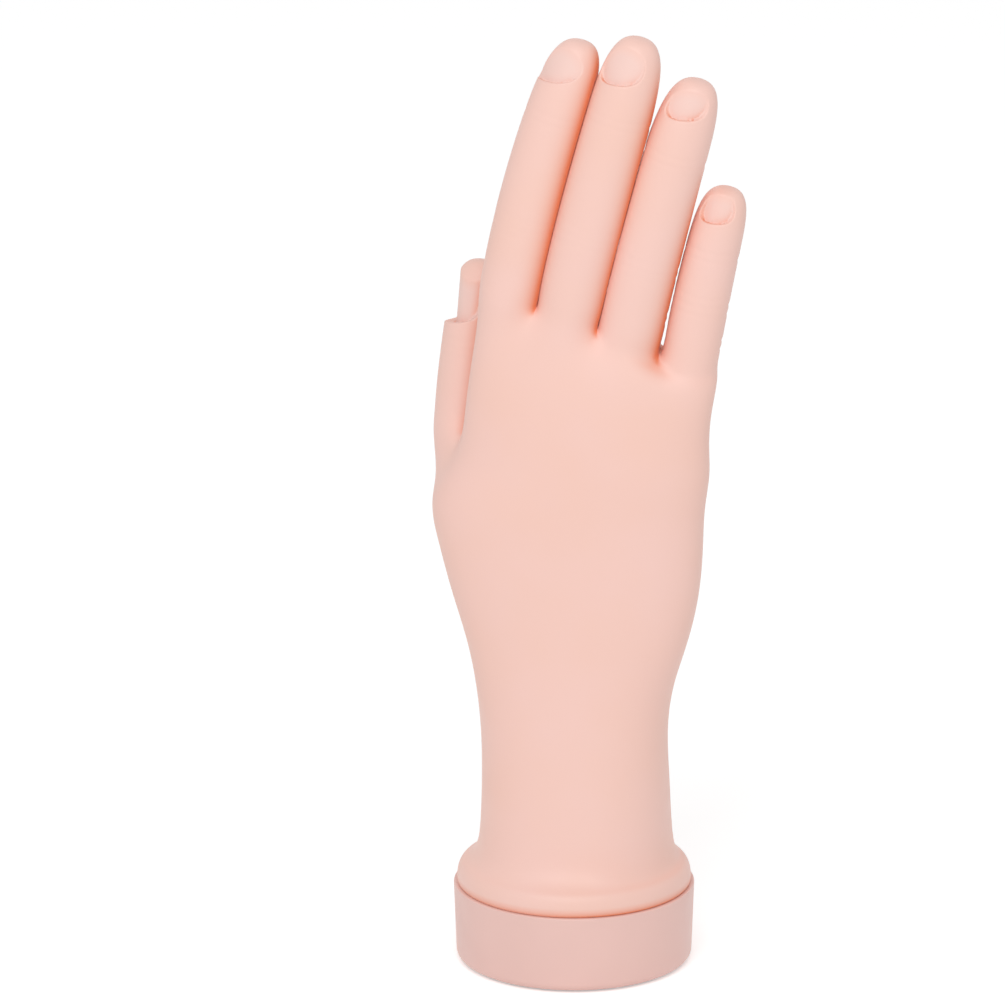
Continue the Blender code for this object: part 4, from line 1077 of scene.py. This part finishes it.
def make_soft_pvc():
    """Plasticised PVC, slush moulded. It gives a satin, slightly waxy peach skin whose colour drifts a
    little. Light that bounces between two fingers turns orange, which the crevice colour helps along."""
    c = colours()
    tree, shader, place = new_material("soft_pvc", roughness=0.46, ior=1.53)
    drift = spread(tree, noise(tree, place, size_mm=26), low=0, high=0.55)
    base = mix_colour(tree, drift, rgba(c.skin), rgba(c.skin_warm))
    recess = add_node(tree, "ShaderNodeAttribute", {"attribute_name": "recess_mm"}).outputs["Fac"]
    bed = spread(tree, recess, low=0, high=1, from_low=0.15, from_high=0.9)
    base = mix_colour(tree, bed, base, rgba(c.skin_pale))
    # Painted shade and bounce glow: where ambient occlusion finds skin within reach, on sides that face +X,
    # the base colour turns orange
    nearby = add_node(tree, "ShaderNodeAmbientOcclusion", {"samples": 16}, Distance=CREVICE_SHADE_REACH)
    open_share = nearby.outputs["AO"]
    closed = spread(tree, open_share, low=1, high=0, from_low=0.45, from_high=0.98)
    lit = spread(tree, open_share, low=0.35, high=1, from_low=0, from_high=0.25)
    normal = add_node(tree, "ShaderNodeNewGeometry").outputs["Normal"]
    away = {"operation": "DOT_PRODUCT"}
    lee = add_node(tree, "ShaderNodeVectorMath", away, _0=normal, _1=LEE_SIDE).outputs["Value"]
    shaded = spread(tree, lee, low=0.03, high=1, from_low=-0.22, from_high=0.4)
    for mask in (shaded, lit):
        both = add_node(tree, "ShaderNodeMath", {"operation": "MULTIPLY"}, _0=closed, _1=mask)
        closed = both.outputs["Value"]
    # The painted shade and glow goes into the base colour here
    base = mix_colour(tree, closed, base, rgba(c.painted_crevice_shade))
    # Painted glow and shade: the same orange is painted onto the thin lower edge of the flange, above its
    # seat, for light through the PVC and the groove at the cup's lip
    seat = flange_levels()[1] / MM
    height = add_node(tree, "ShaderNodeSeparateXYZ", _0=place).outputs["Z"]
    edge = spread(tree, height, SEAM_PAINTED_GLOW, 0, seat + SEAM_LOW_MM, seat + SEAM_HIGH_MM)
    base = mix_colour(tree, edge, base, rgba(c.painted_crevice_shade))
    tree.links.new(base, shader.inputs["Base Color"])
    wear(tree, shader, place, size_mm=9, low=0.42, high=0.52)
    # The mould's fine grain is under 0.1 mm, so it is drawn at 0.45 mm to show at all
    bumps(tree, shader, noise(tree, place, size_mm=0.45, detail=3), strength=0.12, depth_mm=0.05)


def make_cup_abs():
    """ABS, injection moulded. It gives the hard cup an even satin gloss, greyer than the soft skin."""
    tree, shader, place = new_material("base_cup_abs", roughness=0.42, ior=1.54)
    tint(tree, shader, colours().cup, spread(tree, noise(tree, place, size_mm=30), low=0.97, high=1.02))
    wear(tree, shader, place, size_mm=6, low=0.38, high=0.48)
    # Spark-eroded mould grain is about 0.1 mm, and is drawn at 0.5 mm to show at all
    bumps(tree, shader, noise(tree, place, size_mm=0.5, detail=3), strength=0.15, depth_mm=0.04)


def make_frame_abs():
    """ABS, injection moulded and left unpainted. It gives the skeleton a plain ivory satin."""
    tree, shader, place = new_material("moulded_abs", roughness=0.5, ior=1.54)
    tint(tree, shader, colours().frame, spread(tree, noise(tree, place, size_mm=12), low=0.95, high=1.03))
    bumps(tree, shader, noise(tree, place, size_mm=0.8), strength=0.2, depth_mm=0.04)


# The foam's cells are about 0.2 mm wide, and are drawn at 0.6 mm to show
CELL_MM = 0.6


def make_pad_rubber():
    """Closed-cell foam rubber, die cut. It gives the underside a dull black with fine pores."""
    tree, shader, place = new_material("foam_rubber", roughness=0.85, ior=1.52)
    cells = add_node(tree, "ShaderNodeTexVoronoi", Vector=place, Scale=1 / CELL_MM).outputs["Distance"]
    shade = spread(tree, cells, low=0.7, high=1.15, from_low=0, from_high=0.6)
    tint(tree, shader, colours().rubber, shade)
    bumps(tree, shader, cells, strength=0.5, depth_mm=0.15)


def make_zinc_steel():
    """Steel, zinc plated. It gives pins and screws a bluish grey metal with a slightly uneven polish."""
    tree, shader, place = new_material("zinc_plated_steel", roughness=0.3, ior=1.5, metallic=1)
    tint(tree, shader, colours().steel, spread(tree, noise(tree, place, size_mm=1.5), low=0.9, high=1.05))
    wear(tree, shader, place, size_mm=0.7, low=0.24, high=0.4)


class PRACTICEHAND_OT_materials(bpy.types.Operator):
    """Make the materials of the skin, the cup, the skeleton, the pad and the fasteners"""

    bl_idname = "practice_hand.materials"
    bl_label = "Materials"

    def execute(self, context):
        make_soft_pvc()
        make_cup_abs()
        make_frame_abs()
        make_pad_rubber()
        make_zinc_steel()
        return {"FINISHED"}


class PRACTICEHAND_OT_hand(bpy.types.Operator):
    """Make the soft skin of the palm, the wrist and the foot flange"""

    bl_idname = "practice_hand.hand"
    bl_label = "Hand skin"

    def execute(self, context):
        make_hand_piece(hand_form(), make_digits())
        return {"FINISHED"}


class PRACTICEHAND_OT_fingers(bpy.types.Operator):
    """Make the soft skin of the four fingers, with their nail beds"""

    bl_idname = "practice_hand.fingers"
    bl_label = "Finger skins"

    def execute(self, context):
        form = hand_form()
        skin = skin_tree(form)
        for number, digit in enumerate(make_digits()[:-1], 1):
            make_digit_pieces(form, skin, digit, number)
        return {"FINISHED"}


class PRACTICEHAND_OT_thumb(bpy.types.Operator):
    """Make the soft skin of the thumb, with its nail bed"""

    bl_idname = "practice_hand.thumb"
    bl_label = "Thumb skin"

    def execute(self, context):
        form = hand_form()
        make_digit_pieces(form, skin_tree(form), make_digits()[-1], len(DIGITS))
        return {"FINISHED"}


class PRACTICEHAND_OT_base_cup(bpy.types.Operator):
    """Make the hard cup that the foot flange stands in"""

    bl_idname = "practice_hand.base_cup"
    bl_label = "Base cup"

    def execute(self, context):
        s = sizes()
        low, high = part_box("base_cup")
        pad_high, screw_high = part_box("base_pad")[1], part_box("base_screw")[1]
        radius, lip, foot = s.cup_radius, s.cup_lip_round, s.cup_foot_round
        bore = radius - s.cup_wall
        small = radius - s.cup_draft
        pad_space, pad_ceiling = pad_high.x + TOUCH_GAP, pad_high.z + TOUCH_GAP
        screw_space, floor = screw_high.x + TOUCH_GAP, low.z + s.cup_floor
        profile = rounded((bore + lip, high.z - lip), lip, 180, 90)
        profile += rounded((radius - lip, high.z - lip), lip, 90, 0)
        profile += rounded((small - foot, low.z + foot), foot, 0, -90)
        profile += [(pad_space, low.z), (pad_space, pad_ceiling)]
        profile += [(screw_space, pad_ceiling), (screw_space, floor), (bore, floor)]
        piece = turned("base_cup_shell", profile, "base_cup_abs")
        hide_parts("base_cup")
        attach(piece, "root")
        return {"FINISHED"}


class PRACTICEHAND_OT_base_pad(bpy.types.Operator):
    """Make the foam rubber pad under the cup"""

    bl_idname = "practice_hand.base_pad"
    bl_label = "Base pad"

    def execute(self, context):
        low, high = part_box("base_pad")
        profile = [(0, high.z), (high.x, high.z)]
        profile += rounded((high.x - PAD_EDGE, low.z + PAD_EDGE), PAD_EDGE, 0, -90)
        profile += [(0, low.z)]
        piece = turned("base_foam_pad", profile, "foam_rubber")
        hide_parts("base_pad")
        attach(piece, "root")
        return {"FINISHED"}


class PRACTICEHAND_OT_skeleton(bpy.types.Operator):
    """Give the core, the post, the links, the pins and the screws their materials"""

    bl_idname = "practice_hand.skeleton"
    bl_label = "Skeleton"

    def execute(self, context):
        for name, node in frame["nodes"].items():
            if node.hide_render:
                continue
            metal = "_pin" in name or "_screw" in name
            material = bpy.data.materials["zinc_plated_steel" if metal else "moulded_abs"]
            node.data.materials.clear()
            node.data.materials.append(material)
        return {"FINISHED"}


# The photograph's view: its angles, its scale and where its middle lies on the object
CAMERA_AZIMUTH = math.radians(10)
CAMERA_ELEVATION = math.radians(19)
CAMERA_DISTANCE = 12.0
IMAGE_PIXELS = 1005
PIXEL_SIZE = 0.258 * MM
MIDDLE_RIGHT = -18.45 * MM
MIDDLE_UP = 116.7 * MM
SENSOR = 36.0
CLIP_FACTOR = 4


def view_axes(azimuth, elevation):
    """Right, up and backward directions of a camera at these angles."""
    right = Vector((math.cos(azimuth), math.sin(azimuth), 0))
    level = Vector((math.sin(azimuth), -math.cos(azimuth), 0)) * math.cos(elevation)
    back = level + Vector((0, 0, math.sin(elevation)))
    return right, back.cross(right), back


def place_at(item, axes, target, distance):
    """Turns a camera or a lamp to its target, at a distance from it."""
    turn = Matrix(axes).transposed().to_4x4()
    item.matrix_world = Matrix.Translation(target + axes[2] * distance) @ turn


def add_camera():
    axes = right, up, back = view_axes(CAMERA_AZIMUTH, CAMERA_ELEVATION)
    data = bpy.data.cameras.new("photo_camera")
    data.sensor_width = SENSOR
    data.lens = SENSOR * CAMERA_DISTANCE / (IMAGE_PIXELS * PIXEL_SIZE)
    data.clip_end = CLIP_FACTOR * CAMERA_DISTANCE
    camera = add_object("photo_camera", data)
    place_at(camera, axes, right * MIDDLE_RIGHT + up * MIDDLE_UP, CAMERA_DISTANCE)
    bpy.context.scene.camera = camera


def add_lamp(name, azimuth, elevation, distance, size, watts):
    """A square area lamp that faces the middle of the hand."""
    data = bpy.data.lights.new(name, "AREA")
    data.size = size
    data.energy = watts
    axes = view_axes(math.radians(azimuth), math.radians(elevation))
    place_at(add_object(name, data), axes, Vector((0, 0, MIDDLE_UP)), distance)


def seen_rays(tree):
    """1 for rays that show the background itself: from the camera, off metal or through glass."""
    path = add_node(tree, "ShaderNodeLightPath")
    seen = path.outputs["Is Camera Ray"]
    for ray in ("Is Glossy Ray", "Is Transmission Ray"):
        seen = add_node(tree, "ShaderNodeMath", {"operation": "MAXIMUM"}, _0=seen, _1=path.outputs[ray])
        seen = seen.outputs["Value"]
    return seen


WORLD_LIGHT = 0.58
FLOOR_GLOW = 0.35
FLOOR_SIZE = 14.0


def add_world():
    world = bpy.data.worlds.new("studio")
    bpy.context.scene.world = world
    world.use_nodes = True
    tree = world.node_tree
    strength = spread(tree, seen_rays(tree), WORLD_LIGHT, 1, 0, 1)
    sky = tree.nodes["Background"]
    sky.inputs["Color"].default_value = rgba(colours().surroundings)
    tree.links.new(strength, sky.inputs["Strength"])


def add_floor():
    """A pale floor. A little glow for the camera keeps it white, and the shadow stays."""
    shape = bmesh.new()
    bmesh.ops.create_grid(shape, x_segments=1, y_segments=1, size=FLOOR_SIZE / 2)
    floor = object_of(shape, "studio_floor")
    material = bpy.data.materials.new("painted_floor")
    material.use_nodes = True
    tree = material.node_tree
    tree.nodes.clear()
    tone = rgba(colours().surroundings)
    matt = add_node(tree, "ShaderNodeBsdfDiffuse", Color=tone)
    strength = spread(tree, seen_rays(tree), 0, FLOOR_GLOW, 0, 1)
    glow = add_node(tree, "ShaderNodeEmission", Color=tone, Strength=strength)
    both = add_node(tree, "ShaderNodeAddShader", _0=matt.outputs["BSDF"], _1=glow.outputs["Emission"])
    add_node(tree, "ShaderNodeOutputMaterial", Surface=both.outputs["Shader"])
    floor.data.materials.append(material)


class PRACTICEHAND_OT_stage(bpy.types.Operator):
    """Make the camera, the lamps, the backdrop and the floor"""

    bl_idname = "practice_hand.stage"
    bl_label = "Studio stage"

    def execute(self, context):
        add_camera()
        add_world()
        add_floor()
        add_lamp("key_lamp", azimuth=2, elevation=45, distance=1.1, size=0.8, watts=4.8)
        context.scene.view_settings.view_transform = "Standard"
        return {"FINISHED"}


OPERATORS = (
    PRACTICEHAND_OT_materials,
    PRACTICEHAND_OT_hand,
    PRACTICEHAND_OT_fingers,
    PRACTICEHAND_OT_thumb,
    PRACTICEHAND_OT_base_cup,
    PRACTICEHAND_OT_base_pad,
    PRACTICEHAND_OT_skeleton,
    PRACTICEHAND_OT_stage,
)
GROUPS = {
    "practice_hand_sizes": PracticeHandSizes,
    **{f"practice_hand_{name}": digit_group(name) for name in DIGITS},
    "practice_hand_creases": PracticeHandCreases,
    "practice_hand_colours": PracticeHandColours,
}


class PRACTICEHAND_PT_panel(bpy.types.Panel):
    """Lists the sizes, the colours and the steps that build the hand"""

    bl_idname = "PRACTICEHAND_PT_panel"
    bl_label = "Nail practice hand"
    bl_space_type = "VIEW_3D"
    bl_region_type = "UI"
    bl_category = "Practice hand"

    def draw(self, context):
        for group, kind in GROUPS.items():
            box = self.layout.box()
            box.label(text=kind.__doc__.split(".")[0])
            settings = getattr(context.scene, group)
            for field in type(settings).__annotations__:
                box.prop(settings, field)
        for operator in OPERATORS:
            self.layout.operator(operator.bl_idname)


def register():
    for made in (*GROUPS.values(), *OPERATORS, PRACTICEHAND_PT_panel):
        bpy.utils.register_class(made)
    for group, kind in GROUPS.items():
        setattr(bpy.types.Scene, group, PointerProperty(type=kind))


def unregister():
    for group in GROUPS:
        delattr(bpy.types.Scene, group)
    for made in (PRACTICEHAND_PT_panel, *reversed(OPERATORS), *reversed(tuple(GROUPS.values()))):
        bpy.utils.unregister_class(made)


def main():
    register()
    for operator in OPERATORS:
        group, name = operator.bl_idname.split(".")
        getattr(getattr(bpy.ops, group), name)()
    bpy.data.meshes.remove(bpy.data.meshes["hand_form_dense"])


if __name__ == "__main__":
    main()
